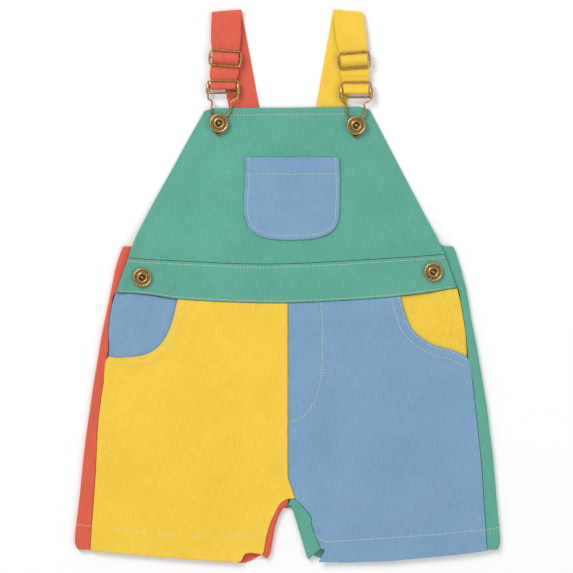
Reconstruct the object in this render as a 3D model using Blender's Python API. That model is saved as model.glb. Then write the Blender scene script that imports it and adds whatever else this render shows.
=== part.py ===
"""Toddler's colour-block short overalls, laid flat on their back.

Sides are the wearer's: right is -X, left is +X. +Y runs from the leg hems to the shoulders and +Z is up
from the table. Sizes are in millimetres until a mesh is made. The back lies on the table, the front lies
on the back, and each back leg folds round its outer side and its inner leg to meet the front's seams.
"""
import math
from collections import namedtuple

import bmesh
import bpy
from mathutils import Vector

MM = 0.001

# Driving dimensions
CLOTH = 1.2
DOUBLE_CLOTH = 1.6
STRAP_CLOTH = 1.3
GAP = 0.3
FOLD_RADIUS = 2.2
FRONT_LEVEL = 2.0 * FOLD_RADIUS - CLOTH
WAISTBAND_LEVEL = 3.4
BIB_LOW_LEVEL = 1.7
BIB_EDGE_LEVEL = 0.4
FACING_LOW_LEVEL = 1.6
STRAP_WIDTH = 24.0
STRAP_FOLD_RADIUS = 2.2
WIRE_RADIUS = 0.75
BAR_RADIUS = 0.8
HARDWARE_LEVEL = 5.7
EAR_LEVEL = 5.0
LOOP_LEVEL = 4.25
CENTRE_SEAM_X = 0.4
CENTRE_Y = 0.25

# Colour, roughness and metallic value of each material
FINISHES = {
    "yellow": ((0.86, 0.57, 0.06), 0.85, 0.0),
    "blue": ((0.19, 0.34, 0.53), 0.85, 0.0),
    "green": ((0.11, 0.39, 0.29), 0.85, 0.0),
    "red": ((0.73, 0.11, 0.07), 0.85, 0.0),
    "brass": ((0.42, 0.27, 0.11), 0.38, 1.0),
}

# The outer sides, one row for each height: the fold of the back leg, and the edge of what lies in front of
# it (the placket's end, then the pocket facing down to y = -57, then the front leg's side seam). left_rise
# lifts a row on the left side, where the waist seam runs higher.
SideSection = namedtuple("SideSection", "y left_rise right_fold right_seam left_fold left_seam")
SIDES = [
    SideSection(32.0, 0.0, -131.4, -106.0, 132.6, 106.0),
    SideSection(24.0, 0.0, -134.6, -106.0, 135.4, 106.0),
    SideSection(12.0, 1.0, -138.1, -106.0, 138.8, 106.0),
    SideSection(0.2, 3.0, -140.4, -106.0, 141.4, 106.0),
    SideSection(-3.0, 4.3, -141.1, -129.0, 142.1, 129.0),
    SideSection(-5.2, 4.3, -141.5, -137.6, 142.6, 135.8),
    SideSection(-15.4, 2.0, -143.6, -140.6, 144.8, 138.6),
    SideSection(-26.0, 0.0, -145.9, -142.4, 146.8, 140.8),
    SideSection(-38.2, 0.0, -148.4, -143.4, 149.2, 142.6),
    SideSection(-48.0, 0.0, -150.1, -143.2, 151.1, 143.6),
    SideSection(-57.4, 0.0, -151.6, -144.4, 152.8, 144.4),
    SideSection(-76.6, 0.0, -154.8, -147.2, 156.0, 148.0),
    SideSection(-95.8, 0.0, -157.6, -150.0, 159.2, 150.4),
    SideSection(-115.0, 0.0, -160.4, -152.0, 161.6, 152.4),
    SideSection(-134.2, 0.0, -162.8, -152.8, 164.0, 154.4),
    SideSection(-153.4, 0.0, -164.8, -153.8, 165.8, 156.0),
    SideSection(-172.6, 0.0, -166.8, -155.2, 167.4, 157.2),
    SideSection(-191.8, 0.0, -169.2, -156.6, 169.2, 158.6),
    SideSection(-201.4, 0.0, -170.0, -157.2, 170.0, 159.2),
    SideSection(-206.4, 0.0, -169.6, -157.5, 169.7, 159.5),
    SideSection(-210.4, 0.0, -167.4, -157.8, 168.4, 159.8),
]
PLACKET_ROWS = 5
SIDE_SEAM_ROWS = 11

# The inner legs, one row for each place along the crotch arch: the fold, and the front leg's seam
InnerSection = namedtuple("InnerSection", "fold_x fold_y seam_x seam_y")
INNER_RIGHT = [
    InnerSection(-0.9, -175.9, 0.8, -170.0),
    InnerSection(-1.9, -176.5, -2.3, -171.3),
    InnerSection(-3.9, -178.1, -6.3, -174.8),
    InnerSection(-6.2, -182.4, -9.6, -181.2),
    InnerSection(-9.0, -189.6, -13.0, -188.4),
    InnerSection(-11.0, -198.6, -16.0, -197.8),
    InnerSection(-12.4, -206.3, -17.4, -205.1),
    InnerSection(-13.9, -213.9, -18.8, -212.4),
    InnerSection(-16.6, -218.0, -19.2, -215.2),
]
INNER_LEFT = [
    InnerSection(0.9, -175.6, 2.2, -170.0),
    InnerSection(2.4, -175.8, 6.1, -170.2),
    InnerSection(3.6, -177.6, 9.8, -173.6),
    InnerSection(5.3, -182.2, 14.8, -179.1),
    InnerSection(6.8, -187.0, 18.4, -184.0),
    InnerSection(8.1, -191.6, 19.0, -189.6),
    InnerSection(10.7, -200.3, 21.3, -197.3),
    InnerSection(13.6, -210.2, 25.2, -206.6),
    InnerSection(16.2, -218.6, 26.4, -209.6),
]
APEX_STEPS = 4

# The waistband's seams from side to side
WaistStation = namedtuple("WaistStation", "top_x top_y bottom_x bottom_y")
WAIST = [
    WaistStation(-127.2, 22.6, -136.8, -5.0),
    WaistStation(-112.0, 21.3, -112.4, -6.4),
    WaistStation(-88.0, 20.1, -87.6, -10.1),
    WaistStation(-38.0, 17.8, -38.0, -12.8),
    WaistStation(0.4, 17.8, 0.4, -13.2),
    WaistStation(42.0, 19.8, 42.0, -11.4),
    WaistStation(78.8, 22.1, 76.0, -9.1),
    WaistStation(108.0, 24.0, 112.0, -5.0),
    WaistStation(125.6, 25.4, 135.0, -1.0),
]

# The pocket scoops, from the waist seam to the side seam
SCOOP_RIGHT = [(-87.8, -10.4), (-90.2, -21.1), (-93.8, -33.0), (-100.2, -45.0), (-108.6, -52.3),
               (-117.7, -55.5), (-130.6, -56.9), (-144.1, -57.4)]
SCOOP_LEFT = [(90.2, -7.9), (93.4, -19.3), (98.0, -31.2), (106.3, -40.4), (118.2, -47.3), (133.8, -51.4),
              (144.1, -57.4)]
FACING_LAP = 8.0
FACING_CORNER_RIGHT = (-121.0, -65.0)
FACING_CORNER_LEFT = (121.0, -61.0)
FACING_END_Y = -66.0

# The hems of the front legs, from the inner leg to the side seam
HEM_RIGHT = [(-19.8, -214.2), (-33.0, -213.4), (-38.5, -220.3), (-76.4, -218.3), (-108.6, -215.6),
             (-157.4, -211.0)]
HEM_LEFT = [(24.8, -220.4), (77.2, -219.8), (134.5, -214.6), (159.6, -211.2)]
HEM_NOTCH_LEFT = [(29.6, -210.6), (27.6, -215.4)]

# The back's top edge between its sides, and the back legs' hems from the outer to the inner leg
BACK_TOP_Y = 32.0
BACK_WAIST_RIGHT = [(-110.0, 34.4), (-60.0, 33.0)]
BACK_WAIST_LEFT = [(110.0, 34.4), (60.0, 33.0)]
BACK_HEM_RIGHT = [(-108.6, -215.2), (-76.4, -217.9), (-38.0, -220.8), (-24.0, -220.6)]
BACK_HEM_LEFT = [(134.5, -214.1), (77.2, -219.3), (38.0, -220.4)]

# The front's centre seam where it turns into the crotch: how far from the seam's line, and how high
SeamBend = namedtuple("SeamBend", "aside y")
CENTRE_SEAM_END_Y = -146.0
CROTCH_BEND = [SeamBend(0.3, -153.0), SeamBend(2.2, -159.0), SeamBend(4.8, -166.8), SeamBend(5.3, -169.3)]

# How far the front legs sink between their seams, and their two soft swells
PANEL_SINK = 0.7
SINK_RUN = 1.0 / 8.0
Swell = namedtuple("Swell", "height x_run y_run")
SWELL_ACROSS = Swell(0.35, 23.0, 61.0)
SWELL_DOWN = Swell(0.25, 47.0, 31.0)

# The waistband and the bib rise over the back's outer folds, and the rise fades out above FOLD_LIFT_END
FOLD_LIFT = 1.6
FOLD_LIFT_FROM = 6.0
FOLD_LIFT_RUN = 9.0
FOLD_LIFT_END = 35.0
FOLD_LIFT_END_RUN = 14.0

# The bib's sides and top, and the bib pocket's sides
BIB_RIGHT_SIDE = [(-127.2, 22.9), (-121.6, 38.6), (-112.0, 57.8), (-101.6, 77.0), (-90.8, 96.2),
                  (-80.4, 115.4), (-70.4, 133.0), (-66.4, 140.2)]
BIB_LEFT_SIDE = [(125.6, 25.7), (119.6, 38.6), (109.2, 57.8), (99.2, 77.0), (89.2, 96.2), (79.2, 115.4),
                 (70.0, 133.0), (65.8, 141.0)]
BIB_TOP = [(-66.4, 140.2), (-63.0, 142.2), (0.0, 142.8), (61.0, 143.4), (65.8, 141.0)]
BIB_FALL_FROM = 31.0
BIB_FALL_RUN = 36.0
BIB_DROOP_WIDTH = 16.0
BIB_DROOP_FROM_Y = 62.0
BIB_DROOP_RUN = 30.0
BIB_DROOP_FROM_X = 50.0
BIB_DROOP_X_RUN = 14.0
BIB_RIPPLE = Swell(0.28, 17.0, 29.0)
BIB_RIPPLE_LOW = 60.0
BIB_RIPPLE_HIGH = 135.0
POCKET_CLEARANCE = 0.12
PocketRow = namedtuple("PocketRow", "right_x right_y left_x left_y middle_drop")
BIB_POCKET = [
    PocketRow(-33.6, 103.0, 41.2, 103.2, 0.0),
    PocketRow(-33.8, 85.0, 42.0, 85.0, 0.0),
    PocketRow(-35.0, 62.0, 41.6, 62.0, 0.0),
    PocketRow(-33.6, 52.6, 40.6, 52.6, 0.0),
    PocketRow(-29.6, 45.6, 37.6, 46.2, 0.6),
    PocketRow(-23.0, 40.4, 31.4, 41.4, 1.6),
    PocketRow(-14.0, 38.0, 22.0, 38.4, 1.2),
]

# The straps: the edge-to-edge middle at the shoulder fold, at the slide and at the buckle's bar
Strap = namedtuple("Strap", "shoulder slide buckle back_end fold_deg slide_deg slide_nub")
STRAP_RIGHT = Strap((-48.7, 219.2), (-49.7, 182.1), (-51.45, 159.3), (-12.7, 23.0), 5.2, -4.6, 12.9)
STRAP_LEFT = Strap((48.4, 219.2), (53.2, 180.5), (54.8, 155.7), (13.3, 23.0), -5.2, 4.4, 12.6)

# The buckles: ears, lower bar and the keyhole wire's way down to the button
Buckle = namedtuple("Buckle", "ear_right ear_left ear_top ear_bottom top_bar lower_bar strap_bar")
BUCKLE_RIGHT = Buckle(-63.5, -39.4, 161.8, 153.4, 164.2, 154.4, 159.3)
BUCKLE_LEFT = Buckle(43.0, 66.6, 158.2, 150.0, 163.0, 150.9, 155.7)
KEYHOLE_RIGHT = [(-63.4, 149.8), (-60.4, 147.6), (-60.7, 143.2), (-61.0, 139.6), (-59.2, 135.0),
                 (-58.9, 125.4), (-55.2, 121.1), (-51.5, 125.4), (-50.6, 133.6), (-46.2, 138.8),
                 (-45.2, 142.2), (-44.8, 147.2), (-40.3, 149.8)]
KEYHOLE_LEFT = [(43.6, 147.6), (47.0, 145.2), (47.2, 141.8), (47.6, 137.9), (49.9, 133.4), (51.2, 123.4),
                (54.9, 119.1), (58.6, 123.4), (59.6, 133.6), (61.8, 138.0), (61.9, 141.8), (61.4, 145.8),
                (65.2, 147.9)]

# The tack buttons
BIB_BUTTONS = {"right": (-54.7, 130.2), "left": (54.9, 128.4)}
SIDE_BUTTONS = {"right": (-116.0, 7.0), "left": (116.4, 11.5)}


def smoothstep(value):
    """Ease from 0 to 1 as value goes from 0 to 1."""
    value = min(max(value, 0.0), 1.0)
    return value * value * (3.0 - 2.0 * value)


def mix(first, second, share):
    """The point that lies share of the way from first to second."""
    return tuple(a + (b - a) * share for a, b in zip(first, second))


def distance(first, second):
    return math.sqrt(sum((a - b) ** 2 for a, b in zip(first, second)))


def unit(x, y):
    length = math.hypot(x, y)
    return x / length, y / length


def smooth_line(points, count, fine=16):
    """count points, evenly spaced on a smooth curve through the named points."""
    dense = []
    last = len(points) - 1
    for index in range(last):
        before = points[max(index - 1, 0)]
        start = points[index]
        end = points[index + 1]
        after = points[min(index + 2, last)]
        run = distance(start, end)
        leave = run / max(distance(before, end), 1e-9)
        arrive = run / max(distance(start, after), 1e-9)
        for step in range(fine):
            t = step / fine
            h1 = 2 * t ** 3 - 3 * t ** 2 + 1
            h2 = -2 * t ** 3 + 3 * t ** 2
            h3 = t ** 3 - 2 * t ** 2 + t
            h4 = t ** 3 - t ** 2
            dense.append(tuple(h1 * s + h2 * e + h3 * leave * (e - b) + h4 * arrive * (a - s)
                               for b, s, e, a in zip(before, start, end, after)))
    dense.append(tuple(points[-1]))
    return even_line(dense, count)


def even_line(points, count):
    """count points, evenly spaced along straight runs between the points."""
    runs = [0.0]
    for first, second in zip(points, points[1:]):
        runs.append(runs[-1] + distance(first, second))
    line = []
    index = 0
    for step in range(count):
        along = runs[-1] * step / (count - 1)
        while index < len(points) - 2 and runs[index + 1] < along:
            index += 1
        share = (along - runs[index]) / max(runs[index + 1] - runs[index], 1e-9)
        line.append(mix(points[index], points[index + 1], min(share, 1.0)))
    return line


def height_on(points, x):
    """The y of a line of points that runs from side to side, at x."""
    for first, second in zip(points, points[1:]):
        if x <= second[0]:
            return mix(first, second, (x - first[0]) / (second[0] - first[0]))[1]
    return points[-1][1]


def coons(top, bottom, start_side, end_side):
    """Rows of points that fill four edges. The sides run from the top to the bottom."""
    rows = []
    last_row = len(start_side) - 1
    last_column = len(top) - 1
    for r in range(last_row + 1):
        v = r / last_row
        row = []
        for c in range(last_column + 1):
            u = c / last_column
            point = []
            for axis in (0, 1):
                ruled = (1 - v) * top[c][axis] + v * bottom[c][axis]
                sides = (1 - u) * start_side[r][axis] + u * end_side[r][axis]
                corners = ((1 - u) * (1 - v) * top[0][axis] + u * (1 - v) * top[-1][axis]
                           + (1 - u) * v * bottom[0][axis] + u * v * bottom[-1][axis])
                point.append(ruled + sides - corners)
            row.append(tuple(point))
        rows.append(row)
    return rows


# Meshes and materials

def material(colour):
    """The shared Principled material of one cloth colour or metal."""
    if colour in bpy.data.materials:
        return bpy.data.materials[colour]
    base, roughness, metallic = FINISHES[colour]
    made = bpy.data.materials.new(colour)
    made.use_nodes = True
    made.diffuse_color = (*base, 1.0)
    shader = made.node_tree.nodes["Principled BSDF"]
    shader.inputs["Base Color"].default_value = (*base, 1.0)
    shader.inputs["Roughness"].default_value = roughness
    shader.inputs["Metallic"].default_value = metallic
    return made


def add_object(name, points, faces, colour):
    """One closed body as an object, its faces pointing out."""
    mesh = bpy.data.meshes.new(name)
    mesh.from_pydata([(x * MM, (y - CENTRE_Y) * MM, z * MM) for x, y, z in points], [], faces)
    body = bmesh.new()
    body.from_mesh(mesh)
    bmesh.ops.recalc_face_normals(body, faces=body.faces)
    body.to_mesh(mesh)
    body.free()
    mesh.shade_smooth()
    mesh.set_sharp_from_angle(angle=math.radians(45.0))
    mesh.materials.append(material(colour))
    made = bpy.data.objects.new(name, mesh)
    bpy.context.collection.objects.link(made)
    return made


def cloth_wall(name, under, over, colour):
    """A closed wall between two grids of points."""
    rows = len(under)
    columns = len(under[0])
    points = [point for grid in (under, over) for row in grid for point in row]

    def at(side, r, c):
        return side * rows * columns + r * columns + c

    faces = []
    for r in range(rows - 1):
        for c in range(columns - 1):
            faces.append((at(0, r, c), at(0, r + 1, c), at(0, r + 1, c + 1), at(0, r, c + 1)))
            faces.append((at(1, r, c), at(1, r, c + 1), at(1, r + 1, c + 1), at(1, r + 1, c)))
    rim = [(0, c) for c in range(columns)]
    rim += [(r, columns - 1) for r in range(1, rows)]
    rim += [(rows - 1, c) for c in range(columns - 2, -1, -1)]
    rim += [(r, 0) for r in range(rows - 2, 0, -1)]
    for (r1, c1), (r2, c2) in zip(rim, rim[1:] + rim[:1]):
        faces.append((at(0, r1, c1), at(0, r2, c2), at(1, r2, c2), at(1, r1, c1)))
    return add_object(name, points, faces, colour)


def flat_panel(name, grid, level, wall, colour):
    """A panel whose underside follows level(x, y, u, v)."""
    last_row = len(grid) - 1
    last_column = len(grid[0]) - 1
    under = []
    over = []
    for r, row in enumerate(grid):
        heights = [level(x, y, c / last_column, r / last_row) for c, (x, y) in enumerate(row)]
        under.append([(x, y, z) for (x, y), z in zip(row, heights)])
        over.append([(x, y, z + wall) for (x, y), z in zip(row, heights)])
    return cloth_wall(name, under, over, colour)


def rod(name, path, radius, colour, sides=6, closed=False):
    """A round bar or wire along a path."""
    count = len(path)
    points = []
    for index, here in enumerate(path):
        ahead = path[(index + 1) % count] if closed else path[min(index + 1, count - 1)]
        behind = path[index - 1] if closed else path[max(index - 1, 0)]
        forward = (Vector(ahead) - Vector(behind)).normalized()
        across = forward.cross(Vector((0, 0, 1))).normalized()
        up = across.cross(forward)
        for side in range(sides):
            angle = 2 * math.pi * (side + 0.5) / sides
            points.append(tuple(Vector(here) + radius * (math.cos(angle) * across + math.sin(angle) * up)))
    faces = []
    for index in range(count if closed else count - 1):
        following = (index + 1) % count
        for side in range(sides):
            beside = (side + 1) % sides
            faces.append((index * sides + side, index * sides + beside,
                          following * sides + beside, following * sides + side))
    if not closed:
        faces.append(tuple(range(sides)))
        faces.append(tuple(range((count - 1) * sides, count * sides)))
    return add_object(name, points, faces, colour)


def unite(first, others):
    """Join the others to the first by Boolean unions, as one body."""
    for other in others:
        union = first.modifiers.new("union", "BOOLEAN")
        union.operation = "UNION"
        union.solver = "EXACT"
        union.object = other
        graph = bpy.context.evaluated_depsgraph_get()
        joined = bpy.data.meshes.new_from_object(first.evaluated_get(graph))
        first.modifiers.clear()
        first.data = joined
        bpy.data.objects.remove(other)
    return first


def turned(name, centre, base, profile, colour, segments=18):
    """A turned piece: the profile's radius and height rows, round a vertical axis at centre."""
    points = []
    for radius, height in profile[1:-1]:
        for segment in range(segments):
            angle = 2 * math.pi * segment / segments
            points.append((centre[0] + radius * math.cos(angle), centre[1] + radius * math.sin(angle),
                           base + height))
    rings = len(profile) - 2
    faces = []
    for ring in range(rings - 1):
        for segment in range(segments):
            beside = (segment + 1) % segments
            faces.append((ring * segments + segment, ring * segments + beside,
                          (ring + 1) * segments + beside, (ring + 1) * segments + segment))
    for pole, ring in ((profile[0], 0), (profile[-1], rings - 1)):
        points.append((centre[0], centre[1], base + pole[1]))
        for segment in range(segments):
            faces.append((len(points) - 1, ring * segments + segment,
                          ring * segments + (segment + 1) % segments))
    return add_object(name, points, faces, colour)


# The back legs

LEAD = 3.0
ARC_STEPS = 4
STRIP_STEPS = 2
HOOK_STEPS = 1 + ARC_STEPS + STRIP_STEPS
SMALLEST_STRIP = 0.2
APEX_RUN = 4.0
CROTCH_CLEARANCE = 0.4
LEAD_ASIDE = 1.3
LEAD_ASIDE_ROWS = 4.0
PLACKET_DROP = 1.5
PLACKET_DROP_RUN = 12.0


def hook(start, tangent, inward, angle, strip, drop):
    """The turned-up edge of a back leg: a flat lead-in, an arc of the fold and a strip on the front.

    start and tangent lie on the table, inward is the level direction from the fold into the leg. The
    result is the outer and the inner points of the wall. drop lowers the strip as it runs inward.
    """
    lead = distance(start, tangent)
    arc = FOLD_RADIUS * angle
    total = lead + arc + strip
    whole = angle > math.pi - 0.01
    if whole:
        stations = [0.0]
        stations += [lead + arc * step / ARC_STEPS for step in range(ARC_STEPS + 1)]
        stations += [lead + arc + strip * (step + 1) / STRIP_STEPS for step in range(STRIP_STEPS)]
    else:
        stations = [total * step / HOOK_STEPS for step in range(HOOK_STEPS + 1)]
    outer = []
    inner = []
    for along in stations:
        if along <= lead:
            x, y = mix(start, tangent, along / lead)
            outer.append((x, y, 0.0))
            inner.append((x, y, CLOTH))
        elif along <= lead + arc + 1e-6:
            turn = (along - lead) / FOLD_RADIUS
            for points, radius in ((outer, FOLD_RADIUS), (inner, FOLD_RADIUS - CLOTH)):
                points.append((tangent[0] - inward[0] * radius * math.sin(turn),
                               tangent[1] - inward[1] * radius * math.sin(turn),
                               FOLD_RADIUS - radius * math.cos(turn)))
        else:
            reach = along - lead - arc
            fall = drop * smoothstep(reach / PLACKET_DROP_RUN)
            x = tangent[0] + inward[0] * reach
            y = tangent[1] + inward[1] * reach
            outer.append((x, y, 2 * FOLD_RADIUS - fall))
            inner.append((x, y, 2 * FOLD_RADIUS - CLOTH - fall))
    return outer, inner


def outer_hooks(side):
    """The hooks at one outer side, from the waist to the hem, and their starts on the table."""
    hooks = []
    for index, section in enumerate(SIDES):
        fold = section.right_fold if side < 0 else section.left_fold
        seam = section.right_seam if side < 0 else section.left_seam
        inward = (-side, 0.0)
        y = section.y + (section.left_rise if side > 0 else 0.0)
        tangent = (fold - side * FOLD_RADIUS, y)
        start = (tangent[0] - side * LEAD, y)
        strip = abs(seam - fold) - FOLD_RADIUS
        drop = PLACKET_DROP if index < PLACKET_ROWS else 0.0
        hooks.append((start, hook(start, tangent, inward, math.pi, strip, drop)))
    return hooks


def inner_hooks(side):
    """The inner edge of one back leg: the flat centre seam, the turn at the crotch and the inner leg."""
    sections = INNER_RIGHT if side < 0 else INNER_LEFT
    seam_x = CENTRE_SEAM_X + side * GAP / 2
    hooks = []
    flat_rows = len(SIDES) - len(sections) - APEX_STEPS
    crotch_y = sections[0].fold_y + FOLD_RADIUS + CROTCH_CLEARANCE
    flat = (side, 0.0)
    for row in range(flat_rows):
        y = BACK_TOP_Y + (crotch_y - APEX_RUN - BACK_TOP_Y) * row / (flat_rows - 1)
        start = (seam_x + side * LEAD, y)
        hooks.append((start, hook(start, (seam_x, y), flat, 0.0, 0.0, 0.0)))
    full = []
    for index, section in enumerate(sections):
        inward = unit(section.seam_x - section.fold_x, section.seam_y - section.fold_y)
        tangent = (section.fold_x + inward[0] * FOLD_RADIUS, section.fold_y + inward[1] * FOLD_RADIUS)
        aside = LEAD_ASIDE * max(0.0, 1.0 - index / LEAD_ASIDE_ROWS)
        lead_way = unit(inward[0] + side * aside, inward[1])
        start = (tangent[0] + lead_way[0] * LEAD, tangent[1] + lead_way[1] * LEAD)
        reach = distance((section.fold_x, section.fold_y), (section.seam_x, section.seam_y))
        strip = reach - FOLD_RADIUS
        full.append((start, tangent, inward, strip))
    first_start, first_tangent, first_inward, _ = full[0]
    last_flat = (seam_x, crotch_y)
    last_start = (seam_x + side * LEAD, crotch_y)
    for step in range(APEX_STEPS):
        share = step / APEX_STEPS
        start = mix(last_start, first_start, share)
        tangent = mix(last_flat, first_tangent, share)
        angle = math.pi * step / (APEX_STEPS - 1)
        hooks.append((start, hook(start, tangent, first_inward, angle, SMALLEST_STRIP * share, 0.0)))
    for start, tangent, inward, strip in full:
        hooks.append((start, hook(start, tangent, inward, math.pi, strip, 0.0)))
    return hooks


def back_leg(name, side, colour):
    """One back leg: the outer hook, the flat back and the inner hook, joined row by row."""
    outer_side = outer_hooks(side)
    inner_side = inner_hooks(side)
    columns = 9
    waist_middle = BACK_WAIST_RIGHT if side < 0 else BACK_WAIST_LEFT
    waist = smooth_line([outer_side[0][0]] + waist_middle + [inner_side[0][0]], columns)
    hem_middle = BACK_HEM_RIGHT if side < 0 else BACK_HEM_LEFT
    hem = smooth_line([outer_side[-1][0]] + hem_middle + [inner_side[-1][0]], columns)
    flat = coons(waist, hem, [start for start, _ in outer_side], [start for start, _ in inner_side])
    under = []
    over = []
    for row, (_, outer_hook), (_, inner_hook) in zip(flat, outer_side, inner_side):
        level_under = [(x, y, 0.0) for x, y in row[1:-1]]
        level_over = [(x, y, CLOTH) for x, y in row[1:-1]]
        under.append(outer_hook[0][::-1] + level_under + inner_hook[0])
        over.append(outer_hook[1][::-1] + level_over + inner_hook[1])
    return cloth_wall(name, under, over, colour)


# The front panels

def waist_seam():
    """The waistband's bottom seam, from side to side."""
    return smooth_line([(s.bottom_x, s.bottom_y) for s in WAIST], 73)


def front_seams(side):
    """The front leg's inner edge and outer edge, from the waist to the hem."""
    seam_x = CENTRE_SEAM_X + side * GAP / 2
    scoop = SCOOP_RIGHT if side < 0 else SCOOP_LEFT
    sections = INNER_RIGHT if side < 0 else INNER_LEFT
    waist_y = height_on(waist_seam(), seam_x) - GAP
    bend = [(seam_x + place.aside, place.y) for place in CROTCH_BEND]
    inner = []
    for section in sections:
        away = unit(section.seam_x - section.fold_x, section.seam_y - section.fold_y)
        inner.append((section.seam_x + away[0] * GAP, section.seam_y + away[1] * GAP))
    if side > 0:
        inner = inner[2:] + HEM_NOTCH_LEFT + [HEM_LEFT[0]]
    else:
        inner[-1] = HEM_RIGHT[0]
    side_rows = SIDES[-SIDE_SEAM_ROWS:]
    outer = [((s.right_seam if side < 0 else s.left_seam) - side * GAP, s.y) for s in side_rows]
    outer[-1] = (HEM_RIGHT if side < 0 else HEM_LEFT)[-1]
    rows = 21
    straight = [(seam_x, waist_y), (seam_x, CENTRE_SEAM_END_Y)]
    centre_rows = even_line(straight, rows - len(inner) - len(bend)) + bend
    scoop_rows = smooth_line(scoop[:-1] + [outer[0]], rows - len(outer) + 1)[:-1]
    return centre_rows + inner, scoop_rows + outer


def front_leg(name, side, colour):
    """One front leg panel, with its scooped pocket mouth."""
    inner, outer = front_seams(side)
    columns = 11
    bottom_seam = waist_seam()
    waist = []
    for step in range(columns):
        x = inner[0][0] + (outer[0][0] - inner[0][0]) * step / (columns - 1)
        waist.append((x, height_on(bottom_seam, x) - GAP))
    outer[0] = waist[-1]
    hem = even_line(HEM_RIGHT if side < 0 else HEM_LEFT, columns)
    if side < 0:
        hem = HEM_RIGHT[:3] + even_line(HEM_RIGHT[2:], columns - 2)[1:]

    def level(x, y, u, v):
        if not 0 < u < 1:
            return FRONT_LEVEL
        middle = math.sin(math.pi * u) ** 0.5 * smoothstep(v / SINK_RUN) * smoothstep((1 - v) / SINK_RUN)
        swell = SWELL_ACROSS.height * math.sin(x / SWELL_ACROSS.x_run + y / SWELL_ACROSS.y_run)
        swell += SWELL_DOWN.height * math.sin(y / SWELL_DOWN.y_run - x / SWELL_DOWN.x_run)
        return FRONT_LEVEL - middle * (PANEL_SINK - swell)

    return flat_panel(name, coons(waist, hem, inner, outer), level, CLOTH, colour)


def pocket_facing(name, side, colour):
    """The facing that shows in one pocket scoop, with a lap under the front leg."""
    scoop = SCOOP_RIGHT if side < 0 else SCOOP_LEFT
    bottom_seam = waist_seam()
    edge = []
    for section in SIDES[PLACKET_ROWS:]:
        if section.y > -72.0:
            seam = section.right_seam if side < 0 else section.left_seam
            edge.append((seam - side * GAP, section.y + (section.left_rise if side > 0 else 0.0)))
    seam_end_y = scoop[-1][1]
    edge[-1] = (edge[-1][0] - side * 2 * GAP, seam_end_y)
    edge.append((edge[-1][0] + side * 4 * GAP, FACING_END_Y))
    edge[0] = (edge[0][0], height_on(bottom_seam, edge[0][0]) - GAP)
    lap = []
    for index, (x, y) in enumerate(scoop[:-1]):
        ahead = scoop[index + 1]
        behind = scoop[max(index - 1, 0)]
        along = unit(ahead[0] - behind[0], ahead[1] - behind[1])
        lap.append((x + side * along[1] * FACING_LAP, y - side * along[0] * FACING_LAP))
    corner = FACING_CORNER_RIGHT if side < 0 else FACING_CORNER_LEFT
    lap = [point for point in lap if abs(point[0]) < abs(corner[0]) - FACING_LAP - 1.0] + [corner]
    rows = 10
    lap[0] = (lap[0][0], height_on(bottom_seam, lap[0][0]) - GAP)
    outer = smooth_line(edge, rows)
    inner = smooth_line(lap, rows)
    columns = 8
    waist = []
    for step in range(columns):
        x = outer[0][0] + (inner[0][0] - outer[0][0]) * step / (columns - 1)
        waist.append((x, height_on(bottom_seam, x) - GAP))
    bottom = even_line([outer[-1], inner[-1]], columns)

    def level(x, y, u, v):
        share = smoothstep(u / 0.55) + smoothstep((v - 0.5) / 0.22)
        return FRONT_LEVEL - (FRONT_LEVEL - FACING_LOW_LEVEL) * min(share, 1.0)

    return flat_panel(name, coons(waist, bottom, outer, inner), level, CLOTH, colour)


def fold_at(x, y):
    """How far in from the back leg's outer fold a point lies."""
    rows = SIDES[::-1]
    for low, high in zip(rows, rows[1:]):
        if y <= high.y or high is rows[-1]:
            share = (y - low.y) / (high.y - low.y)
            if x < 0:
                return x - (low.right_fold + (high.right_fold - low.right_fold) * share)
            return low.left_fold + (high.left_fold - low.left_fold) * share - x
    return 0.0


def lift_over_fold(x, y):
    """The rise of the waistband and the bib where they pass over the back's outer folds."""
    near = 1.0 - smoothstep((fold_at(x, y) - FOLD_LIFT_FROM) / FOLD_LIFT_RUN)
    return FOLD_LIFT * near * (1.0 - smoothstep((y - FOLD_LIFT_END) / FOLD_LIFT_END_RUN))


def waistband():
    """The front waistband, buttoned at its ends over the back's plackets."""
    columns = 19
    top = smooth_line([(s.top_x, s.top_y) for s in WAIST], columns)
    bottom = smooth_line([(s.bottom_x, s.bottom_y) for s in WAIST], columns)
    rows = 4
    right_end = even_line([top[0], bottom[0]], rows)
    left_end = even_line([top[-1], bottom[-1]], rows)

    def level(x, y, u, v):
        return WAISTBAND_LEVEL + lift_over_fold(x, y)

    return flat_panel("waistband_front", coons(top, bottom, right_end, left_end), level, DOUBLE_CLOTH,
                      "green")


def bib_side(y, table):
    """The x of one bib side at a height."""
    rows = [(point[1], point[0]) for point in table]
    return height_on(rows, y)


def bib_level(x, y):
    """The height of the bib's underside: over the waist, down onto the straps, drooping at its sides."""
    fall = smoothstep((y - BIB_FALL_FROM) / BIB_FALL_RUN)
    level = WAISTBAND_LEVEL + (BIB_LOW_LEVEL - WAISTBAND_LEVEL) * fall
    side = abs(bib_side(y, BIB_LEFT_SIDE if x > 0 else BIB_RIGHT_SIDE))
    inset = side - abs(x)
    droop = (1.0 - smoothstep(inset / BIB_DROOP_WIDTH)) * smoothstep((y - BIB_DROOP_FROM_Y) / BIB_DROOP_RUN)
    droop *= smoothstep((abs(x) - BIB_DROOP_FROM_X) / BIB_DROOP_X_RUN)
    level += (BIB_EDGE_LEVEL - BIB_LOW_LEVEL) * droop
    ripple = BIB_RIPPLE.height * math.sin(x / BIB_RIPPLE.x_run + y / BIB_RIPPLE.y_run)
    ripple *= smoothstep(inset / 25.0)
    ripple *= smoothstep((y - BIB_RIPPLE_LOW) / 20.0) * smoothstep((BIB_RIPPLE_HIGH - y) / 15.0)
    return level + max(ripple, 0.0) + lift_over_fold(x, y)


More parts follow.
